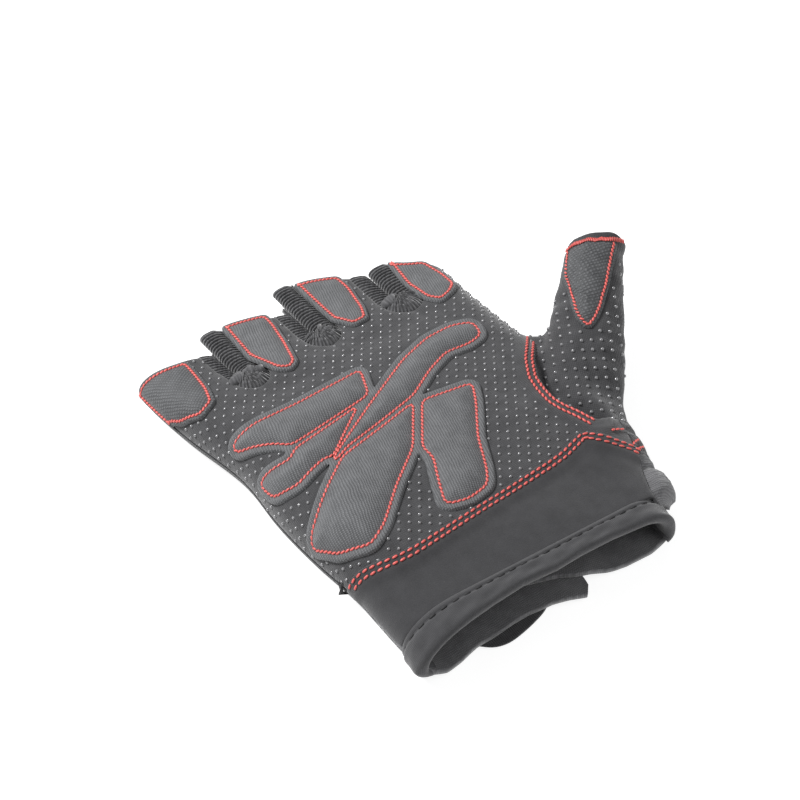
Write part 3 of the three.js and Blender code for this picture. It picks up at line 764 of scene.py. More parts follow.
def plain_material(name, tone, rough, coat=0.0):
    material = bpy.data.materials.new(name)
    material.use_nodes = True
    n = Nodes(material.node_tree)
    shader = n.tree.nodes["Principled BSDF"]
    where = n.add("ShaderNodeTexCoord")
    length = n.add("ShaderNodeVectorMath", {"operation": "SCALE"}, Vector=where.outputs["Object"],
                   Scale=1 / MM)
    grain = n.add("ShaderNodeGroup", {"node_tree": GRAIN}, Cloth=length.outputs[0],
                  Dark=tuple(c * 0.8 for c in tone[:3]) + (1,), Light=tone, Mottle=0.2, Nap=2.0,
                  Rough_low=rough * 0.85, Rough_high=rough)
    n.put(shader, "Base Color", grain.outputs["Colour"])
    n.put(shader, "Roughness", grain.outputs["Roughness"])
    n.put(shader, "Coat Weight", coat)
    n.put(shader, "Specular IOR Level", 0.5)
    return material


PALM_CLOTH = cloth_material("palm_cloth", colour(44, 44, 46), colour(70, 70, 72),
                            weave=(0, 0.55, 0.55, 0.7), weave_depth=0.06, painted_rib_shade=0.2)
BAND_CLOTH = cloth_material("band_cloth", colour(39, 39, 41), colour(55, 55, 57), nap_depth=0.1)
KNIT = cloth_material("knit", colour(40, 40, 42), colour(62, 62, 64), weave=(0, 0.55, 0.45, 0.6),
                      weave_depth=0.12, painted_rib_shade=0.2, dust=0.2)
# the strongest painted shade: darker in the strip's rib valleys and lighter on the ribs, with no drift
# so it stays on them
GUSSET_KNIT = cloth_material("gusset_knit", colour(52, 52, 54), colour(84, 84, 86), drift=0.0,
                             weave=(0, 1.2, 0.6, 0.4), weave_depth=0.2, painted_rib_shade=0.5, dust=0.3)
# painted light: the flaps take a lighter copy of the knit, to brighten the shaded floor and lips inside
# the cuff's opening
FLAP_KNIT_PAINTED_LIGHT = cloth_material("flap_knit_painted_light", colour(84, 84, 86), colour(110, 110, 112),
                           weave=(90, 0.6, 0.5, 0.6), weave_depth=0.1, painted_rib_shade=0.25, dust=0.1)
BINDING_KNIT = cloth_material("binding_knit", colour(50, 50, 52), colour(66, 66, 68),
                              weave=(0, 0.4, 0.4, 0.8), weave_depth=0.05, painted_rib_shade=0.12, dust=0.1)
SHEET = dict(rough=(0.5, 0.65), weave_depth=0.16, sheen=0.1, dust=0.1)
RIBBED = cloth_material("ribbed_sheet", colour(82, 83, 85), colour(104, 105, 107),
                        weave=(12.3, 0.7, 0.5, 0.45), painted_rib_shade=0.3, **SHEET)
TWILL_SHEET = cloth_material("twill_sheet", colour(74, 75, 77), colour(95, 96, 98),
                             weave=(-38, 0.8, 0.8, 0.8), painted_rib_shade=0.32, **SHEET)
THUMB_SHEET = cloth_material("diamond_sheet", colour(66, 67, 69), colour(91, 92, 94),
                             weave=(52, 0.9, 0.9, 0.8), painted_rib_shade=0.35, **SHEET)
# a silicone grey set lighter than the dots' own tone: partly their colour, partly painted highlight for
# their glints
DOT = plain_material("silicone_dot", colour(122, 122, 124), 0.2, coat=0.9)
RED = plain_material("red_thread", colour(212, 92, 86), 0.45)
TONAL = plain_material("tonal_thread", colour(34, 34, 36), 0.8)


# Palm panel

def to_cloth(points):
    p = np.asarray(points, float)
    return np.stack([q_of(p[:, 0], p[:, 1]), p[:, 1]], -1)


def edge_line(side, y0, y1):
    ys = np.linspace(y0, y1, max(2, int(abs(y1 - y0) / 0.6)))
    column = 0 if side == "left" else -1
    return np.stack([np.interp(ys, ROWS, _q[:, column]), ys], -1)


def finger_span(f, y):
    at = section(y)
    width = at["right"] - at["left"]
    return at["left"] + CREASES[f] * width, at["left"] + CREASES[f + 1] * width


def hem_y(f, x):
    start, end = finger_span(f, FRONT_HEMS[f])
    return FRONT_HEMS[f] + FRONT_SLOPES[f] * (x - (start + end) / 2)


def palm_hem():
    line = []
    for f in (3, 2, 1, 0):
        start, end = finger_span(f, FRONT_HEMS[f])
        if f == 0:
            start -= 1
        if f == 3:
            end += 1
        xs = np.linspace(end, start, 40)
        line.append(to_cloth(np.stack([xs, hem_y(f, xs)], -1)))
    return np.vstack(line)


def finger_crease(index, y):
    """x of the crease between two fingers"""
    return finger_span(index, y)[1]


def gusset_outline(index, extra=0.0):
    """the U between two fingers in plan, from the palm's end to past the hems"""
    _, start, reach = GUSSETS[index]
    top = start * LENGTH - extra
    wide = reach + extra
    middle = finger_crease(index, top)
    turn = np.linspace(math.pi, 2 * math.pi, ARC_POINTS)
    arc = np.stack([middle + np.cos(turn) * wide, top + wide + np.sin(turn) * wide], -1)
    end = 1.04 * LENGTH
    last = finger_crease(index, end)
    return np.vstack([arc, [(last + wide, end), (last - wide, end)]])


ARC_POINTS = 25
CUT_EXTRA = -0.5
GUSSET_CUTS = [to_cloth(dense(gusset_outline(k, CUT_EXTRA), 0.5)) for k in range(len(GUSSETS))]


def beside(points, distance):
    """a line moved to its right by distance"""
    p = np.array(points, float)
    ahead = unit(np.gradient(p, axis=0))
    return p + np.stack([ahead[:, 1], -ahead[:, 0]], -1) * distance


THUMB_LAP = 2.7
BAND_LAP = 2.4
BAND_LAP_AT_SIDE = 0.5
SEAM_LINE = dense(plan(THUMB_SEAM), 0.5, closed=False)
THUMB_EDGE = beside(SEAM_LINE, THUMB_LAP)
BAND_EDGE = dense(plan(BAND_EDGE_POINTS), 0.5, closed=False)


# Rows of stitches, by their distance from the seam's edge, and the dent they press in

BAND_ROWS = (1.0, 2.55)
THUMB_ROWS = (0.9, 2.6)
SEAM_DENT = 0.25
SEAM_WIDTH = 0.6


def palm_outline():
    left = section(BAND_EDGE[:1, 1])["left"][0]
    whole = smooth((BAND_EDGE[:, :1] - left - 1) / 6)
    lap = BAND_LAP_AT_SIDE + (BAND_LAP - BAND_LAP_AT_SIDE) * whole
    low = beside(BAND_EDGE, lap)
    side = dense([tuple(low[-1])] + plan(SIDE_SEAM[1:]), 0.4, closed=False)
    seam = to_cloth(np.vstack([low, side[1:], THUMB_EDGE]))
    top = 0.600 * LENGTH
    right = edge_line("right", top, FRONT_HEMS[3] - 7)
    left = edge_line("left", FRONT_HEMS[0] + 1, low[0, 1])
    return np.vstack([seam, right, palm_hem(), left])


def lay(flat, lift):
    """flat cloth laid over the palm side, lifted along the surface's normal"""
    q, y = flat[:, 0], flat[:, 1]
    return on_top(x_of(q, y), y, lift)


def palm_panel():
    flat, faces, border = flat_cloth([palm_outline()], GUSSET_CUTS, 0.8)
    away = distance_to(flat, border)
    seam = distance_to(flat, to_cloth(THUMB_EDGE))
    lift = rim_fall(away, 0.8, 0.5) + 0.7 * (1 - smooth((seam - 3.5) / 3))
    for row in THUMB_ROWS:
        lift = lift - SEAM_DENT * hump(seam, row, SEAM_WIDTH)
    points = lay(flat, lift)
    piece = make_object("palm_cloth_panel", points, faces, PALM_CLOTH, flat, thickness=CLOTH)
    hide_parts("palm_panel")


def wrist_band():
    ridge = dense(plan(SIDE_RIDGE)[::-1] + [(0.36 * WIDTH, BINDING - 0.5)], 0.4, closed=False)
    foot = edge_line("left", BINDING - 0.5, BAND_EDGE[0, 1])
    outline = np.vstack([to_cloth(BAND_EDGE), to_cloth(ridge), foot])
    flat, faces, border = flat_cloth([outline], [], 0.8)
    away = distance_to(flat, border)
    over = distance_to(flat, to_cloth(BAND_EDGE))
    lift = 0.1 + 0.8 * (1 - smooth((over - 2.5) / 4)) + rim_fall(away, 0.8, 0.7)
    for row in BAND_ROWS:
        lift = lift - SEAM_DENT * hump(over, row, SEAM_WIDTH)
    points = lay(flat, lift)
    piece = make_object("wrist_band_cloth", points, faces, BAND_CLOTH, flat, thickness=CLOTH)
    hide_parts("wrist_band")


# Raised cells and patches

STITCH_IN = 2.3
PATCH_STITCH_IN = 1.5


def overlay():
    outlines = {name: to_cloth(dense(rounded(plan(cell), 2), 0.4)) for name, cell in CELLS.items()}
    keeps = [moved(line, STITCH_IN) for line in outlines.values()]
    flat, faces, border = flat_cloth(keeps, [], 0.65)
    away = distance_to(flat, border)
    lift = 0.9 + rim_fall(away, 0.9, 0.9)
    for line in outlines.values():
        lift = lift + quilted(flat, line, 0.4, 0.55, 1.5, 2.6)
    points = lay(flat, lift)
    piece = make_object("palm_overlay_sheet", points, faces, RIBBED, flat)
    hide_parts("palm_overlay")
    return outlines


def tip_patches():
    lines = []
    for name in FINGER_NAMES:
        outline = to_cloth(dense(rounded(TIP_PATCHES[name], 1.6), 0.4))
        flat, faces, border = flat_cloth([outline], [], 0.6)
        away = distance_to(flat, border)
        line = moved(outline, -PATCH_STITCH_IN)
        lift = 1.1 + rim_fall(away, 1.0, 1.0) + quilted(flat, line, 0.35, 0.5, 0.7, 2.2)
        points = lay(flat, lift)
        material = TWILL_SHEET if name == "little" else RIBBED
        piece = make_object(f"tip_patch_{name}_sheet", points, faces, material, flat)
        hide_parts(f"tip_patch_{name}")
        lines.append(line)
    return lines


# Knit strips between the fingers

RIB = 1.2
STRIP_WIDTH = 9.0
STRIP_STEP = 0.17
STRIP_COLUMNS = 48
CURL_FROM = 0.62
TUCK = 1.6
TURN = 2 * math.pi


def gusset_lines(index):
    """the strip's outer edge, on the palm, and its inner one at the crease between the fingers"""
    reach = GUSSETS[index][2]
    arc = gusset_outline(index)[:ARC_POINTS]
    middle = arc[0, 1]
    left = np.linspace(hem_y(index, arc[0, 0]) + 0.6, middle, 90)
    right = np.linspace(middle, hem_y(index + 1, arc[-1, 0]) + 2.6, 90)
    turn = np.linspace(math.pi, 2 * math.pi, 100)[1:-1]
    ease = np.linspace(-1, 1, 100)[1:-1]
    centre = finger_crease(index, middle)
    crease_left, crease_right = finger_crease(index, left), finger_crease(index, right)
    path = np.vstack([
        np.stack([crease_left - reach, left], -1),
        np.stack([centre + np.cos(turn) * reach, middle + np.sin(turn) * reach], -1),
        np.stack([crease_right + reach, right], -1),
    ])
    inner = np.vstack([
        np.stack([crease_left - 0.5, left - 1.5], -1),
        np.stack([centre + ease * 0.5, middle + 2.5 + 0 * ease], -1),
        np.stack([crease_right + 0.3, right], -1),
    ])
    run = run_along(path)
    at = np.linspace(0, run[-1], int(run[-1] / STRIP_STEP))
    even = [np.stack([np.interp(at, run, line[:, k]) for k in (0, 1)], -1) for line in (path, inner)]
    return at[:, None], even[0], even[1]


def knit_relief(at, v):
    """height of the ribs and loops over a strip: at runs along it and v from 0 to 1 across"""
    end = at[-1, 0]
    knob = hump(at, end * 0.46, 7.5, 4)
    ends = smooth(at / 3) * smooth((end - at) / 3)
    bulge = (0.5 + 1.0 * knob) * np.sin(math.pi * np.minimum(1, v * 1.25)) ** 0.7
    phase = at / RIB * TURN + 0.8 * np.sin(v * 3) + 0.5 * np.sin(at * 0.45 + v * 4)
    row = np.floor(phase / TURN)
    knots = 0.5 + 0.5 * np.cos(v * STRIP_WIDTH / RIB * TURN + math.pi * row)
    rib = 0.42 * np.cos(phase) * (0.55 + 0.45 * knots) * (1 - 0.7 * knob)
    loops = 0.5 * knob * np.sin(v * 34 + at * 0.9) * np.sin(at * 3.6)
    loops = loops + 0.25 * knob * np.sin(v * 21 - at * 1.7 + 2) * np.sin(at * 5.3)
    edges = np.sin(math.pi * np.clip(v, 0.03, 0.97)) ** 0.5
    return (bulge + (rib + loops) * edges) * (0.35 + 0.65 * ends), phase


def gusset(index):
    """a ribbed strip up one finger's side, round the crotch and up the next finger's side"""
    name = GUSSETS[index][0]
    at, path, inner = gusset_lines(index)
    v = np.linspace(0, 1, STRIP_COLUMNS)[None, :]
    raised, phase = knit_relief(at, v)
    z_out = top_height(path[:, :1], path[:, 1:])
    deep = section(path[:, 1:])["edge"] - 1.5
    curl = 0.5 * smooth((path[:, 1:] - CROTCH - 2) / 10) * smooth((v - CURL_FROM) / (1 - CURL_FROM))
    h = np.sin(np.minimum(1, v / CURL_FROM) * math.pi / 2) - curl
    fall = (1 - np.cos(v * math.pi / 2)) ** 1.6
    out = unit(inner - path, TINY)
    lean = np.sin(v * math.pi / 2) ** 2
    tuck = TUCK * (1 - smooth(v / 0.1))
    aside = raised * lean * 0.2 - tuck
    x, y = [path[:, k:k + 1] + (inner - path)[:, k:k + 1] * h + out[:, k:k + 1] * aside for k in (0, 1)]
    z = z_out + (deep - z_out) * fall + raised * (1 - 0.5 * lean) - 0.5 - tuck
    points = np.stack([x, y, z], -1).reshape(-1, 3)
    faces = [face[::-1] for face in grid_faces(len(at), STRIP_COLUMNS)]
    # the cloth map follows the ribs' phase, so the gusset knit's painted shade lies in their valleys
    flat = np.stack([(phase * RIB / TURN).ravel(), np.tile(v[0] * STRIP_WIDTH, len(at))], -1)
    piece = make_object(f"{name}_strip", points, faces, GUSSET_KNIT, flat, thickness=1.2)
    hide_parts(name)


# Thumb sleeve

AXIS = THUMB[:, :3] * np.array([WIDTH, LENGTH, HEIGHT])
TIP = AXIS[-1]
ALONG = unit(AXIS[-1] - AXIS[0])
SIDE = np.array([ALONG[1], -ALONG[0], 0]) / np.hypot(ALONG[0], ALONG[1])
UP = np.cross(SIDE, ALONG)


def thumb_curve(count=60):
    """points on the thumb's axis and its half sizes there, past the hem at the end"""
    t = np.linspace(0, len(THUMB) - 1, count)
    k = np.arange(len(THUMB))
    axis = np.stack([np.interp(t, k, AXIS[:, i]) for i in range(3)], -1)
    sizes = np.stack([np.interp(t, k, THUMB[:, i] * THUMB_WIDTH / 2) for i in (3, 4)], -1)
    soft = np.ones(9) / 9
    for i in range(3):
        padded = np.pad(axis[:, i], 4, mode="reflect", reflect_type="odd")
        axis[:, i] = np.convolve(padded, soft, "valid")
    return np.vstack([axis, axis[-1:] + ALONG * 6]), np.vstack([sizes, sizes[-1:]])


def tube_distance(p):
    """about how far outside the thumb's tube the points lie"""
    axis, sizes = thumb_curve()
    best = np.full(len(p), 1e9)
    for a, b, size_a, size_b in zip(axis[:-1], axis[1:], sizes[:-1], sizes[1:]):
        d = b - a
        t = np.clip((p - a) @ d / (d @ d), 0, 1)[:, None]
        off = p - a - t * d
        size = size_a + t * (size_b - size_a)
        wide, high = off @ SIDE, off @ UP
        out = np.hypot(wide / size[:, 0], high / size[:, 1])
        past = np.abs(off @ ALONG)
        best = np.minimum(best, (out - 1) * np.minimum(size[:, 0], size[:, 1]) + past * 0.5)
    return best


def body_distance(p):
    """about how far outside the body of the glove, on its thumb side, the points lie"""
    x, y, z = p.T
    at = section(y)
    in_right = at["right"] - x
    tall = at["crown"] - at["edge"]
    low = at["edge"] - at["floor"]
    above = z > at["edge"]
    up = np.where(above, (z - at["edge"]) / tall, (at["edge"] - z) / low)
    reach = np.where(above, at["roll_right"], UNDER_ROLL)
    aside = np.maximum(0, 1 - in_right / reach)
    out = (np.maximum(up, 0) ** ROLL_POWER + aside ** ROLL_POWER) ** (1 / ROLL_POWER) - 1
    return out * np.where(above, np.minimum(tall, reach), np.minimum(low, reach))


def smooth_least(a, b, k):
    """the lesser of two values, blended where they differ by under k"""
    h = np.clip(0.5 + 0.5 * (b - a) / k, 0, 1)
    return b + (a - b) * h - k * h * (1 - h)


SEAM_LOW = np.array([20.0, 20.0])
SEAM_STEP = 0.6
SEAM_COUNT = (120, 130)
_sx, _sy = np.meshgrid(*[SEAM_LOW[k] + SEAM_STEP * np.arange(SEAM_COUNT[k]) for k in (0, 1)],
                       indexing="ij")
SEAM_AWAY = distance_to(np.stack([_sx.ravel(), _sy.ravel()], -1), SEAM_LINE).reshape(SEAM_COUNT)

# Soft bulges that fill the web beside the palm and the thumb's base: from, to and the two
# radii. Then the valley along the seam: its distance from the seam, its width and depth.

WEBS = [
    ((44, 69.6, 9.0), (54.5, 71.0, 9.5), 5.6, 4.6),
    ((49, 44, 8.0), (59, 62, 15.0), 6.2, 7.6),
]
VALLEY = (4.8, 2.4, 3.8)


def strand_distance(p, start, end, r0, r1):
    a, d = np.array(start, float), np.array(end, float) - np.array(start, float)
    t = np.clip((p - a) @ d / (d @ d), 0, 1)[:, None]
    return np.linalg.norm(p - a - t * d, axis=1) - (r0 + (r1 - r0) * t[:, 0])


def thumb_field(p):
    """about how far outside the thumb's cloth the points lie"""
    x, y, z = p.T
    away = bilinear(SEAM_AWAY, (x - SEAM_LOW[0]) / SEAM_STEP, (y - SEAM_LOW[1]) / SEAM_STEP)
    middle, width, depth = VALLEY
    whole = smooth_least(body_distance(p), tube_distance(p), 2.5)
    for web in WEBS:
        whole = smooth_least(whole, strand_distance(p, *web), 3.0)
    fade = 1 - 0.8 * smooth((y - 55) / 11)
    crumple = 0.25 * np.sin(x * 0.7 + 1.2 * np.sin(y * 0.35)) * np.sin(y * 0.45 + z * 0.3)
    return whole + depth * fade * hump(away, middle, width) + crumple + 0.1


# Where the sleeve is meshed, and the rest of its outline in plan past the seam

THUMB_LOW = np.array([26.0, 26, -1])
THUMB_HIGH = np.array([88.0, 92, 38])
THUMB_CELL = 0.75
THUMB_FOOT = [(0.485, 0.603), (0.52, 0.77), (2.0, 0.85), (2.0, 0.262), (0.57, 0.262), (0.47, 0.246)]


def thumb_hem(across):
    """how far past its tip the thumb's hem lies"""
    return 0.9 + 0.34 * across - 0.05 * np.maximum(0, across - 3) ** 2


def thumb_sleeve():
    points, quads = isosurface(thumb_field, THUMB_LOW, THUMB_HIGH, THUMB_CELL)
    small = 0.05
    for _ in range(2):
        value = thumb_field(points)
        slope = np.stack([(thumb_field(points + d) - value) / small for d in np.eye(3) * small], -1)
        points = points - slope * (value / np.maximum(0.2, (slope ** 2).sum(1)))[:, None] * 0.7
    triangles = np.vstack([quads[:, [0, 1, 2]], quads[:, [0, 2, 3]]])
    across = (points - TIP) @ SIDE
    hem = thumb_hem(across) - (points - TIP) @ ALONG
    points, triangles = clip(points, triangles, hem)
    region = moved(np.array(plan(THUMB_SEAM + THUMB_FOOT)), 1.0)
    line = dense(region, 0.5)
    away = distance_to(points[:, :2], line) * np.where(inside(points[:, :2], region), 1, -1)
    points, triangles = clip(points, triangles, away)
    edge = section(points[:, 1])["edge"]
    upper, upper_faces = clip(points, triangles, points[:, 2] - edge)
    lower, lower_faces = clip(points, triangles, edge - points[:, 2])
    flat = np.stack([upper @ SIDE, upper @ ALONG], -1)
    piece = make_object("thumb_sleeve_cloth", upper, upper_faces, PALM_CLOTH, flat, thickness=CLOTH)
    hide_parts("thumb_sleeve")
    surface = BVHTree.FromPolygons(upper.tolist(), upper_faces.tolist())
    return surface, (lower, lower_faces, np.stack([lower @ SIDE, lower @ ALONG], -1))


# Rays onto the thumb's front start this high over its axis, and this far below they end

RAY_FROM = 30
MISSED = 52


def on_thumb(surface, flat, lift):
    """points and normals on the thumb's front, from lengths across it and down from its hem"""
    lift = np.broadcast_to(np.asarray(lift, float), len(flat))
    points, found = [], []
    for across, down in flat:
        start = TIP + SIDE * across + ALONG * down + UP * RAY_FROM
        hit = surface.ray_cast(Vector(start), Vector(-UP))[0]
        found.append(hit is not None)
        points.append(start - UP * MISSED if hit is None else np.array(hit))
    points, found = np.array(points), np.array(found)
    steps = np.eye(3) * 0.6
    normals = np.stack([thumb_field(points + d) - thumb_field(points - d) for d in steps], -1)
    normals = unit(normals, TINY)
    normals = np.where(found[:, None], normals, UP)
    return points + normals * lift[:, None], normals, found


def thumb_patch(surface):
    line = dense(rounded(THUMB_PATCH, 1.5), 0.4)
    outline = moved(line, 1.2)
    flat, faces, border = flat_cloth([outline], [], 0.6)
    away = distance_to(flat, border)
    lift = 0.9 + rim_fall(away, 0.8, 0.8) + quilted(flat, line, 0.3, 0.5, 0.5, 2.2)
    points, _, _ = on_thumb(surface, flat, lift)
    piece = make_object("tip_patch_thumb_sheet", points, faces, THUMB_SHEET, flat)
    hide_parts("tip_patch_thumb")
    return line


# Back, flaps, binding and strap

def under_rows(ys, x_from, x_to, columns, webs=True, lip=None):
    """a sheet on the back's side, in rows; a lip moves its wrist end along y, by x"""
    share = (1 - np.cos(np.pi * np.linspace(0, 1, columns))) / 2
    x = x_from[:, None] + (x_to - x_from)[:, None] * share
    y = np.repeat(ys[:, None], columns, 1)
    if lip:
        fade = (ys[-1] - ys) / (ys[-1] - ys[0])
        y = y + np.interp(x, *np.array(lip).T) * fade[:, None]
    z = form(x, y, side="under", webs=webs)
    run = np.concatenate([np.zeros((len(ys), 1)), np.cumsum(np.hypot(np.diff(x), np.diff(z)), 1)], 1)
    points = np.stack([x, y, z], -1).reshape(-1, 3)
    flat = np.stack([run - run[:, -1:] / 2, y], -1).reshape(-1, 2)
    return points, [face[::-1] for face in grid_faces(len(ys), columns)], flat


def back_panel(thumb_under):
    body_ys = np.linspace(BAND_TOP, CROTCH, 90)
    at = section(body_ys)
    parts = [under_rows(body_ys, at["left"], at["right"], 120)]
    for f in range(4):
        ys = np.linspace(CROTCH, HEMS[f], 20)
        start, end = finger_span(f, ys)
        wedge = SLIT + 3.2 * smooth((ys - CROTCH - 2) / 10)
        start = start + (wedge if f > 0 else 0)
        end = end - (wedge if f < 3 else 0)
        points, faces, flat = under_rows(ys, start, end, 40)
        tilt = HEM_SLOPES[f] * smooth((points[:, 1] - CROTCH) / (HEMS[f] - CROTCH))
        points[:, 1] += tilt * (points[:, 0] - np.repeat((start + end) / 2, 40))
        parts.append((points, faces, flat))
    side = dense(plan(SIDE_SEAM), 0.4, closed=False)
    top = 0.285 * LENGTH
    side = np.vstack([side, [(0.5 * WIDTH, top)]])
    outline = np.vstack([to_cloth(side), edge_line("right", top, side[0, 1]) - [0.6, 0]])
    flat, faces, border = flat_cloth([outline], [], 0.7)
    y = flat[:, 1]
    bulge = 0.6 * hump(y, 28, 4.5, 4) - 0.7 * hump(y, 29.6, 0.9)
    parts.append((lay(flat, bulge * smooth(distance_to(flat, border) / 1.5) - 0.3), faces, flat))
    parts.append(thumb_under)
    points, faces, flat = merge(parts)
    piece = make_object("back_panel_cloth", points, faces, KNIT, flat, thickness=1.3)
    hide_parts("back_panel")


# Where the flaps' front lips lie: x, and y against the wrist's lip

LITTLE_LIP = [
    (-39, -0.8), (-36.5, -1.8), (-33, -2.5), (-28, -1.7), (-22.4, -0.3), (-14.6, 0.3), (-6, 1.0),
    (0.5, 0.4), (5, -0.8), (9.5, -2.3), (12, -1.6),
]
THUMB_LIP = [
    (-6, 9), (6, 5.5), (9.5, 3.6), (12, 2.6), (14, 2.1), (18, 1.1), (24, 0.1), (32, -0.1), (39, 1.0),
    (42.4, 3.4), (46, 5),
]


# How far one flap reaches under the other, the cut of the tab's end by y, and the flaps' rows

TAB_UNDER = 17
TAB_CUT = [(0, -2.2), (1.6, -0.3), (3.0, 0.0), (4.2, 0.1), (6, 0.3), (BAND_TOP, 0.5)]
FLAP_ROWS = np.concatenate([np.linspace(0, 4, 16), np.linspace(4.5, BAND_TOP, 32)])


def flap_little():
    ys = FLAP_ROWS
    at = section(ys)
    end = TAB_END + np.interp(ys, *np.array(TAB_CUT).T)
    points, faces, flat = under_rows(ys, at["left"], end, 110, webs=False, lip=LITTLE_LIP)
    x, y = points[:, 0], points[:, 1]
    points[:, 2] += 0.2 * np.sin(x * 0.45 + y * 0.2) * smooth((8 - y) / 8)
    # the flap's knit is painted lighter, standing in for light inside the cuff
    piece = make_object("flap_little_cloth", points, faces, FLAP_KNIT_PAINTED_LIGHT, flat, thickness=CLOTH)
    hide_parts("closure_flap_little")


def flap_thumb():
    ys = FLAP_ROWS
    start = 0 * ys + TAB_END - TAB_UNDER
    end = section(ys)["right"]
    points, faces, flat = under_rows(ys, start, end, 110, webs=False, lip=THUMB_LIP)
    raise_tab = CLOTH + GAP
    points[:, 2] += raise_tab * (1 - smooth((points[:, 0] - TAB_END) / 9))
    ridge = dense(plan(SIDE_RIDGE), 0.4, closed=False)
    right = edge_line("right", ridge[-1, 1] + 3, BINDING - 1.5) - [0.6, 0]
    cloth, triangles, _ = flat_cloth([np.vstack([to_cloth(ridge), right])], [], 0.6)
    off = distance_to(cloth, to_cloth(ridge))
    y = cloth[:, 1]
    fold = 1.4 * hump(y, 11.4, 4.6, 4) * smooth((off - 0.3) / 3)
    lift = fold - 0.3 - 0.9 * (1 - smooth((y - 6.8) / 1.6)) - 0.8 * hump(y, 17, 0.9)
    lift = lift + 0.16 * np.cos(y * 2 * math.pi / 1.3) * smooth((y - 8) / 2)
    side = (lay(cloth, lift), triangles, cloth)
    points, faces, flat = merge([(points, faces, flat), side])
    # the same lighter knit, painted light, on this flap and its side
    piece = make_object("flap_thumb_cloth", points, faces, FLAP_KNIT_PAINTED_LIGHT, flat, thickness=CLOTH)
    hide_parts("closure_flap_thumb")


# Binding: how far its front edge lies behind or before the wrist's lip, by x

BINDING_LIP = [
    (-40, -1.2), (-36, -1.0), (-27, -0.2), (-18, 1.0), (-8, 1.9), (2, 1.4), (10, 1.9), (20, 1.8),
    (32, 0.8), (38, 0.3), (44, 0.2),
]
BINDING_GROOVE = 5.7
BINDING_WRAP = (3.6, 1.6)


def binding_line():
    """x, z and outward direction round the cuff's front, from below the left side to the right"""
    at = section(0.0)
    turn = (1 - np.cos(np.linspace(0, math.pi, 240))) / 2
    wrap = np.linspace(1, 0, 24)[:-1] ** 1.5
    left, right = BINDING_WRAP
    x = np.concatenate([at["left"] + wrap * left, at["left"] + turn * (at["right"] - at["left"]),
                        at["right"] - wrap[::-1] * right])
    top = form(x, 0 * x, webs=False)
    under = form(x, 0 * x, side="under", webs=False)
    below = np.zeros(len(x), bool)
    below[:len(wrap)] = True
    below[-len(wrap):] = True
    line = np.stack([x, np.where(below, under, top)], -1)
    ahead = np.gradient(line, axis=0)
    return line, unit(np.stack([-ahead[:, 1], ahead[:, 0]], -1))


def wrist_binding():
    line, normal = binding_line()
    x = line[:, 0]
    profile = []
    for y in np.linspace(BINDING + 0.4, 1, 28):
        puff = 0.85 * math.sqrt(max(0, 1 - ((y - 3) / 4.6) ** 4))
        groove = 0.35 * hump(y, BINDING_GROOVE, 0.45)
        profile.append((y, 0.2 + puff - groove))
    for turn in np.linspace(0, math.pi, 14)[1:-1]:
        profile.append((1 - 1.6 * math.sin(turn), -0.55 + 1.6 * math.cos(turn)))
    for y in np.linspace(1, BINDING, 12):
        profile.append((y, -2.15))
    run = run_along(line)
    shift = np.interp(x, *np.array(BINDING_LIP).T)
    bulk = 0.9 * hump(run, 4, 6) + 0.3 * hump(run, run[-1] - 3, 5)
    points, flat = [], []
    walk = 0.0
    for k, (y, off) in enumerate(profile):
        front = np.clip(1 - y / BINDING, 0, 1.3)
        wave = 0.12 * np.sin(run / 3.1 + y) + 0.1 * np.sin(run / 1.7 - 1.3 * y)
        outer = math.sin(math.pi * min(1, max(0, (BINDING - y) / BINDING * 0.9))) * (off > -2)
        out = (off + (bulk + wave) * outer)[:, None] * normal
        points.append(np.stack([x + out[:, 0], y + shift * front, line[:, 1] + out[:, 1]], -1))
        if k:
            walk += math.hypot(y - profile[k - 1][0], off - profile[k - 1][1])
        flat.append(np.stack([run, np.full(len(x), walk)], -1))
    count = len(x)
    faces = grid_faces(len(profile), count)
    faces.append(tuple(k * count for k in range(len(profile))))
    faces.append(tuple(k * count + count - 1 for k in range(len(profile)))[::-1])
    piece = make_object("wrist_binding_knit", np.vstack(points), faces, BINDING_KNIT, np.vstack(flat))
    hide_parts("wrist_binding")


STRAP_OUTLINE = [
    (-0.25, 0.115), (-0.25, 0.03), (-0.215, 0.0), (-0.185, -0.018), (-0.142, -0.024),
    (-0.068, -0.012), (0.0, 0.006), (0.03, 0.04), (0.03, 0.115),
]


def closure_strap():
    outline = dense(rounded(plan(STRAP_OUTLINE), 4), 0.6)
    flat, faces, border = flat_cloth([outline], [], 0.9)
    away = distance_to(flat, border)
    z = STRAP + rim_fall(away, 0.6, 0.4)
    points = np.concatenate([flat, z[:, None]], 1)
    piece = make_object("closure_strap_sheet", points, faces, KNIT, flat, thickness=STRAP - 0.05)
    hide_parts("closure_strap")


# Stitches and grip dots

def capsule(rings=5, sides=6):
    """a thread stitch lying along x, one unit long and one unit thick"""
    points, faces = [], []
    for i in range(rings):
        t = -math.cos(math.pi * i / (rings - 1))
        r = max(0.12, math.sqrt(max(0, 1 - t * t))) ** 0.6
        for k in range(sides):
            turn = 2 * math.pi * k / sides
            points.append((t / 2, math.cos(turn) * r / 2, math.sin(turn) * r / 2))
    faces += grid_faces(rings, sides, wrap=True)
    faces.append(tuple(range(sides))[::-1])
    faces.append(tuple(range((rings - 1) * sides, rings * sides)))
    return np.array(points), faces


def stitch_run(line, pitch, closed=True):
    """middle and step of each stitch along a line of the cloth"""
    p = dense(line, pitch, closed=closed)
    ahead = np.roll(p, -1, 0) - p if closed else np.diff(p, axis=0)
    start = p if closed else p[:-1]
    return start + ahead / 2, ahead


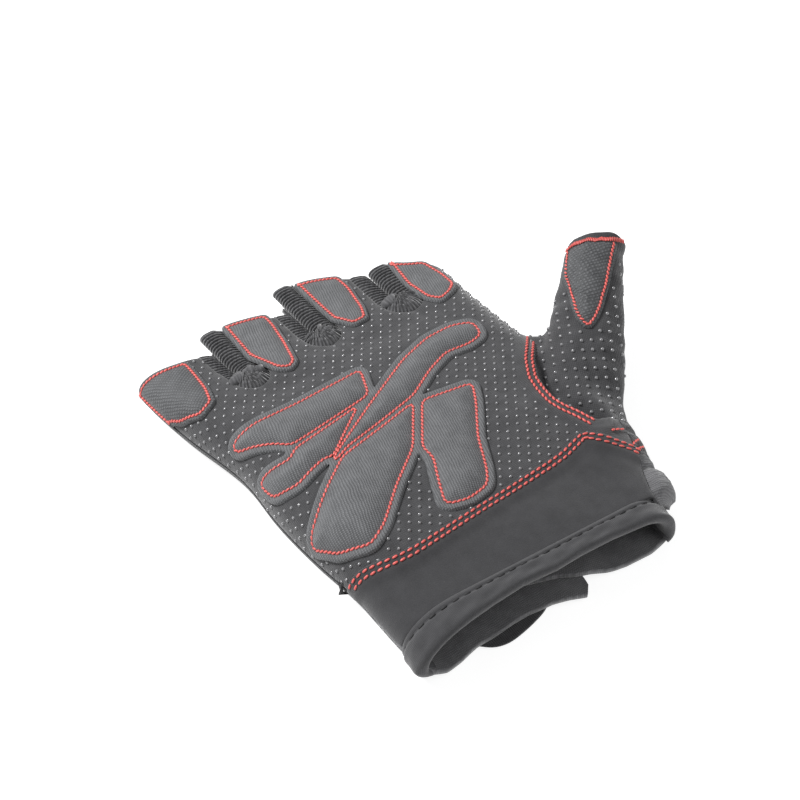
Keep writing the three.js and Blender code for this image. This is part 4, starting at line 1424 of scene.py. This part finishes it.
def copies(shape, faces, centres, along, across, up):
    """a shape laid at each of the centres, along its own three directions"""
    points = (centres[:, None] + shape[None, :, :1] * along[:, None]
              + shape[None, :, 1:2] * across[:, None] + shape[None, :, 2:] * up[:, None])
    every = [tuple(i + n * len(shape) for i in face) for n in range(len(centres)) for face in faces]
    return points.reshape(-1, 3), every, np.zeros((len(shape) * len(centres), 2))


def stitches_on(place_on, middles, steps, length, thick, slant=0.0, lift=0.0):
    """capsules laid on a surface; place_on gives points for cloth lengths"""
    c, s = math.cos(math.radians(slant)), math.sin(math.radians(slant))
    ahead = unit(steps) @ np.array([[c, s], [-s, c]])
    a, b = place_on(middles - ahead * 0.4, lift), place_on(middles + ahead * 0.4, lift)
    side = np.stack([-ahead[:, 1], ahead[:, 0]], -1)
    e, f = place_on(middles - side * 0.4, lift), place_on(middles + side * 0.4, lift)
    along = unit(b - a)
    up = unit(np.cross(along, f - e), TINY)
    shape, faces = capsule()
    shape = shape * [length, thick, thick * 0.8]
    return copies(shape, faces, (a + b) / 2, along, np.cross(up, along), up)


def domes(centres, normals, radius, tall):
    """small silicone domes at the centres"""
    rings = [(1.0, -0.1), (0.92, 0.45), (0.6, 0.85)]
    sides = 8
    across = unit(np.cross(normals, [0.0, 1.0, 0.0]), TINY)
    along = np.cross(normals, across)
    shape = [(r * math.cos(2 * math.pi * k / sides), r * math.sin(2 * math.pi * k / sides), h)
             for r, h in rings for k in range(sides)] + [(0, 0, 1.0)]
    shape = np.array(shape) * [radius, radius, tall]
    faces = grid_faces(3, sides, wrap=True)
    faces += [(2 * sides + k, 2 * sides + (k + 1) % sides, 3 * sides) for k in range(sides)]
    return copies(shape, [face[::-1] for face in faces], centres, along, across, normals)


def lattice(columns, rows, pitch, turn):
    """points of a square lattice, turned by some degrees"""
    i, j = [steps.ravel() for steps in np.meshgrid(np.arange(*columns), np.arange(*rows))]
    c, s = math.cos(math.radians(turn)), math.sin(math.radians(turn))
    return np.stack([(i * c - j * s) * pitch, (i * s + j * c) * pitch], -1)


# The palm's tongue beside the thumb, right of the first and below the second, has no dots.
# Then the radii of the dots.

TONGUE = (35.5, 34.5)
PALM_DOT = 0.46
THUMB_DOT = 0.52


def palm_dots(overlay_lines, patch_lines):
    centres = lattice((-60, 61), (-60, 61), 2.6, -33) + [0, 70]
    keep = inside(centres, moved(palm_outline(), -1.2))
    for cut in GUSSET_CUTS:
        keep &= ~inside(centres, moved(cut, 0.8))
    for line in overlay_lines.values():
        keep &= ~inside(centres, moved(line, STITCH_IN + 0.2))
    for line in patch_lines:
        keep &= ~inside(centres, moved(line, 1.7))
    keep &= (x_of(centres[:, 0], centres[:, 1]) < TONGUE[0]) | (centres[:, 1] > TONGUE[1])
    centres = centres[keep]
    x, y = x_of(centres[:, 0], centres[:, 1]), centres[:, 1]
    return domes(on_top(x, y), top_normal(x, y), PALM_DOT, PALM_DOT)


def tonal_stitches():
    """dark thread in the binding's groove"""
    line, normal = binding_line()
    run = run_along(line)
    at = np.arange(7.0, run[-1] - 6, 3.4)
    middles = np.stack([at, 0 * at], -1)
    steps = np.tile([1.0, 0.0], (len(at), 1))

    def in_groove(flat, lift):
        x, z = (np.interp(flat[:, 0], run, line[:, k]) for k in (0, 1))
        nx, nz = (np.interp(flat[:, 0], run, normal[:, k]) for k in (0, 1))
        y = BINDING_GROOVE + flat[:, 1] + np.interp(x, *np.array(BINDING_LIP).T) * 0.19
        return np.stack([x + nx * lift, y, z + nz * lift], -1)

    points, faces, flat = stitches_on(in_groove, middles, steps, 1.9, 0.75, slant=4, lift=0.85)
    piece = make_object("binding_stitches", points, faces, TONAL, flat)


def thumb_dots(surface, patch_line):
    """dots on a wider grid over the thumb's front"""
    flat = lattice((-12, 14), (-22, 3), 2.7, 20)
    flat = flat[~inside(flat, moved(patch_line, 2.0))]
    points, normals, found = on_thumb(surface, flat, 0.0)
    steep = normals @ UP
    near = distance_to(points[:, :2], THUMB_EDGE)
    past = (points - TIP) @ ALONG
    room = thumb_hem((points - TIP) @ SIDE) - 3.6
    keep = found & (steep > 0.1) & (near > 0.6) & (past < room)
    return domes(points[keep], normals[keep], THUMB_DOT, THUMB_DOT)


# Short rows of red stitches on the knit at the thumb's side

SIDE_ROWS = [
    [(40.1, 29.6), (42.4, 29.7), (44.6, 29.4)],
    [(43.2, 24.0), (45.4, 25.3), (47.2, 26.2)],
    [(42.9, 22.0), (45.0, 22.9), (46.8, 23.6)],
]

# Red stitches: pitch, length, thickness, slant in degrees and lift, by where they run

THREADS = {
    "cell": (1.35, 1.4, 0.68, 20, 0.74),
    "patch": (1.15, 1.25, 0.78, 24, 0.98),
    "thumb patch": (1.2, 1.3, 0.66, 22, 0.85),
    "satin": (0.42, 1.3, 0.5, 68, 1.0),
    "band": (2.0, 1.5, 0.72, 10, 0.92),
    "thumb seam": (1.55, 1.5, 0.74, -18, 0.7),
    "side": (1.7, 1.5, 0.72, 10, 0.5),
}
BAND_STITCHES_FROM = (-41.2, 29.0)


def red_stitches(overlay_lines, patch_lines, surface):
    def on_front(flat, lift):
        return on_thumb(surface, flat, lift)[0]

    start = to_cloth([BAND_STITCHES_FROM])[0, 0]
    bands = [to_cloth(beside(BAND_EDGE, row)) for row in BAND_ROWS]
    seams = [to_cloth(beside(THUMB_EDGE, -row)) for row in THUMB_ROWS]
    jobs = [("cell", line, True) for line in overlay_lines.values()]
    jobs += [("patch", line, True) for line in patch_lines]
    jobs += [("thumb patch", dense(THUMB_PATCH, 0.4, closed=False), False)]
    jobs += [("satin", dense(THUMB_SATIN, 0.3, closed=False), False)]
    jobs += [("band", line[line[:, 0] > start], False) for line in bands]
    jobs += [("thumb seam", line, False) for line in seams]
    jobs += [("side", to_cloth(dense(line, 0.5, closed=False)), False) for line in SIDE_ROWS]
    runs = []
    for kind, line, closed in jobs:
        pitch, length, thick, slant, lift = THREADS[kind]
        place_on = on_front if kind in ("thumb patch", "satin") else lay
        middle, step = stitch_run(line, pitch, closed=closed)
        runs.append(stitches_on(place_on, middle, step, length, thick, slant=slant, lift=lift))
    points, faces, flat = merge(runs)
    red = make_object("red_stitches", points, faces, RED, flat)


def build():
    palm_panel()
    wrist_band()
    overlay_lines = overlay()
    patch_lines = tip_patches()
    for index in range(len(GUSSETS)):
        gusset(index)
    surface, under = thumb_sleeve()
    thumb_line = thumb_patch(surface)
    back_panel(under)
    flap_little()
    flap_thumb()
    wrist_binding()
    closure_strap()
    all_dots = [palm_dots(overlay_lines, patch_lines), thumb_dots(surface, thumb_line)]
    points, faces, flat = merge(all_dots)
    dots = make_object("grip_dots", points, faces, DOT, flat)
    red_stitches(overlay_lines, patch_lines, surface)
    tonal_stitches()


# Floor, light and camera

FLOOR_REACH = 3
FLOOR_TONE = 0.4
FLOOR_GLOW = 0.8
WORLD_LIGHT = 0.45

# Lamps: name, place and size in metres, and power

LAMPS = [("key", (-0.45, 0.55, 0.8), 0.3, 16), ("fill", (0.5, -0.7, 0.7), 0.8, 3)]
LENS = 76.5
SENSOR = 36
CAMERA_AT = (-175.2, -267.1, 339.4)
CAMERA_AIM = (8.94, 18.03, 0)


def stage():
    mesh = bpy.data.meshes.new("floor")
    r = FLOOR_REACH
    mesh.from_pydata([(-r, -r, 0), (r, -r, 0), (r, r, 0), (-r, r, 0)], [], [(0, 1, 2, 3)])
    floor = bpy.data.objects.new("floor", mesh)
    bpy.context.scene.collection.objects.link(floor)
    material = bpy.data.materials.new("floor")
    material.use_nodes = True
    n = Nodes(material.node_tree)
    shader = n.tree.nodes["Principled BSDF"]
    n.put(shader, "Base Color", (FLOOR_TONE, FLOOR_TONE, FLOOR_TONE, 1))
    n.put(shader, "Roughness", 1.0)
    n.put(shader, "Emission Color", (1, 1, 1, 1))
    n.put(shader, "Emission Strength", FLOOR_GLOW)
    mesh.materials.append(material)

    world = bpy.data.worlds.new("studio")
    bpy.context.scene.world = world
    world.use_nodes = True
    world.node_tree.nodes["Background"].inputs["Color"].default_value = (1, 1, 1, 1)
    world.node_tree.nodes["Background"].inputs["Strength"].default_value = WORLD_LIGHT

    for name, where, size, watts in LAMPS:
        data = bpy.data.lights.new(name, "AREA")
        data.energy = watts
        data.size = size
        lamp = bpy.data.objects.new(name, data)
        bpy.context.scene.collection.objects.link(lamp)
        lamp.location = where
        lamp.rotation_euler = (-Vector(where)).to_track_quat("-Z", "Y").to_euler()
    bpy.context.scene.view_settings.view_transform = "Standard"


def camera():
    data = bpy.data.cameras.new("camera")
    data.lens = LENS
    data.sensor_width = SENSOR
    camera = bpy.data.objects.new("camera", data)
    bpy.context.scene.collection.objects.link(camera)
    camera.location = Vector(CAMERA_AT) * MM
    aim = Vector(CAMERA_AIM) * MM
    camera.rotation_euler = (aim - camera.location).to_track_quat("-Z", "Y").to_euler()
    bpy.context.scene.camera = camera


build()
stage()
camera()
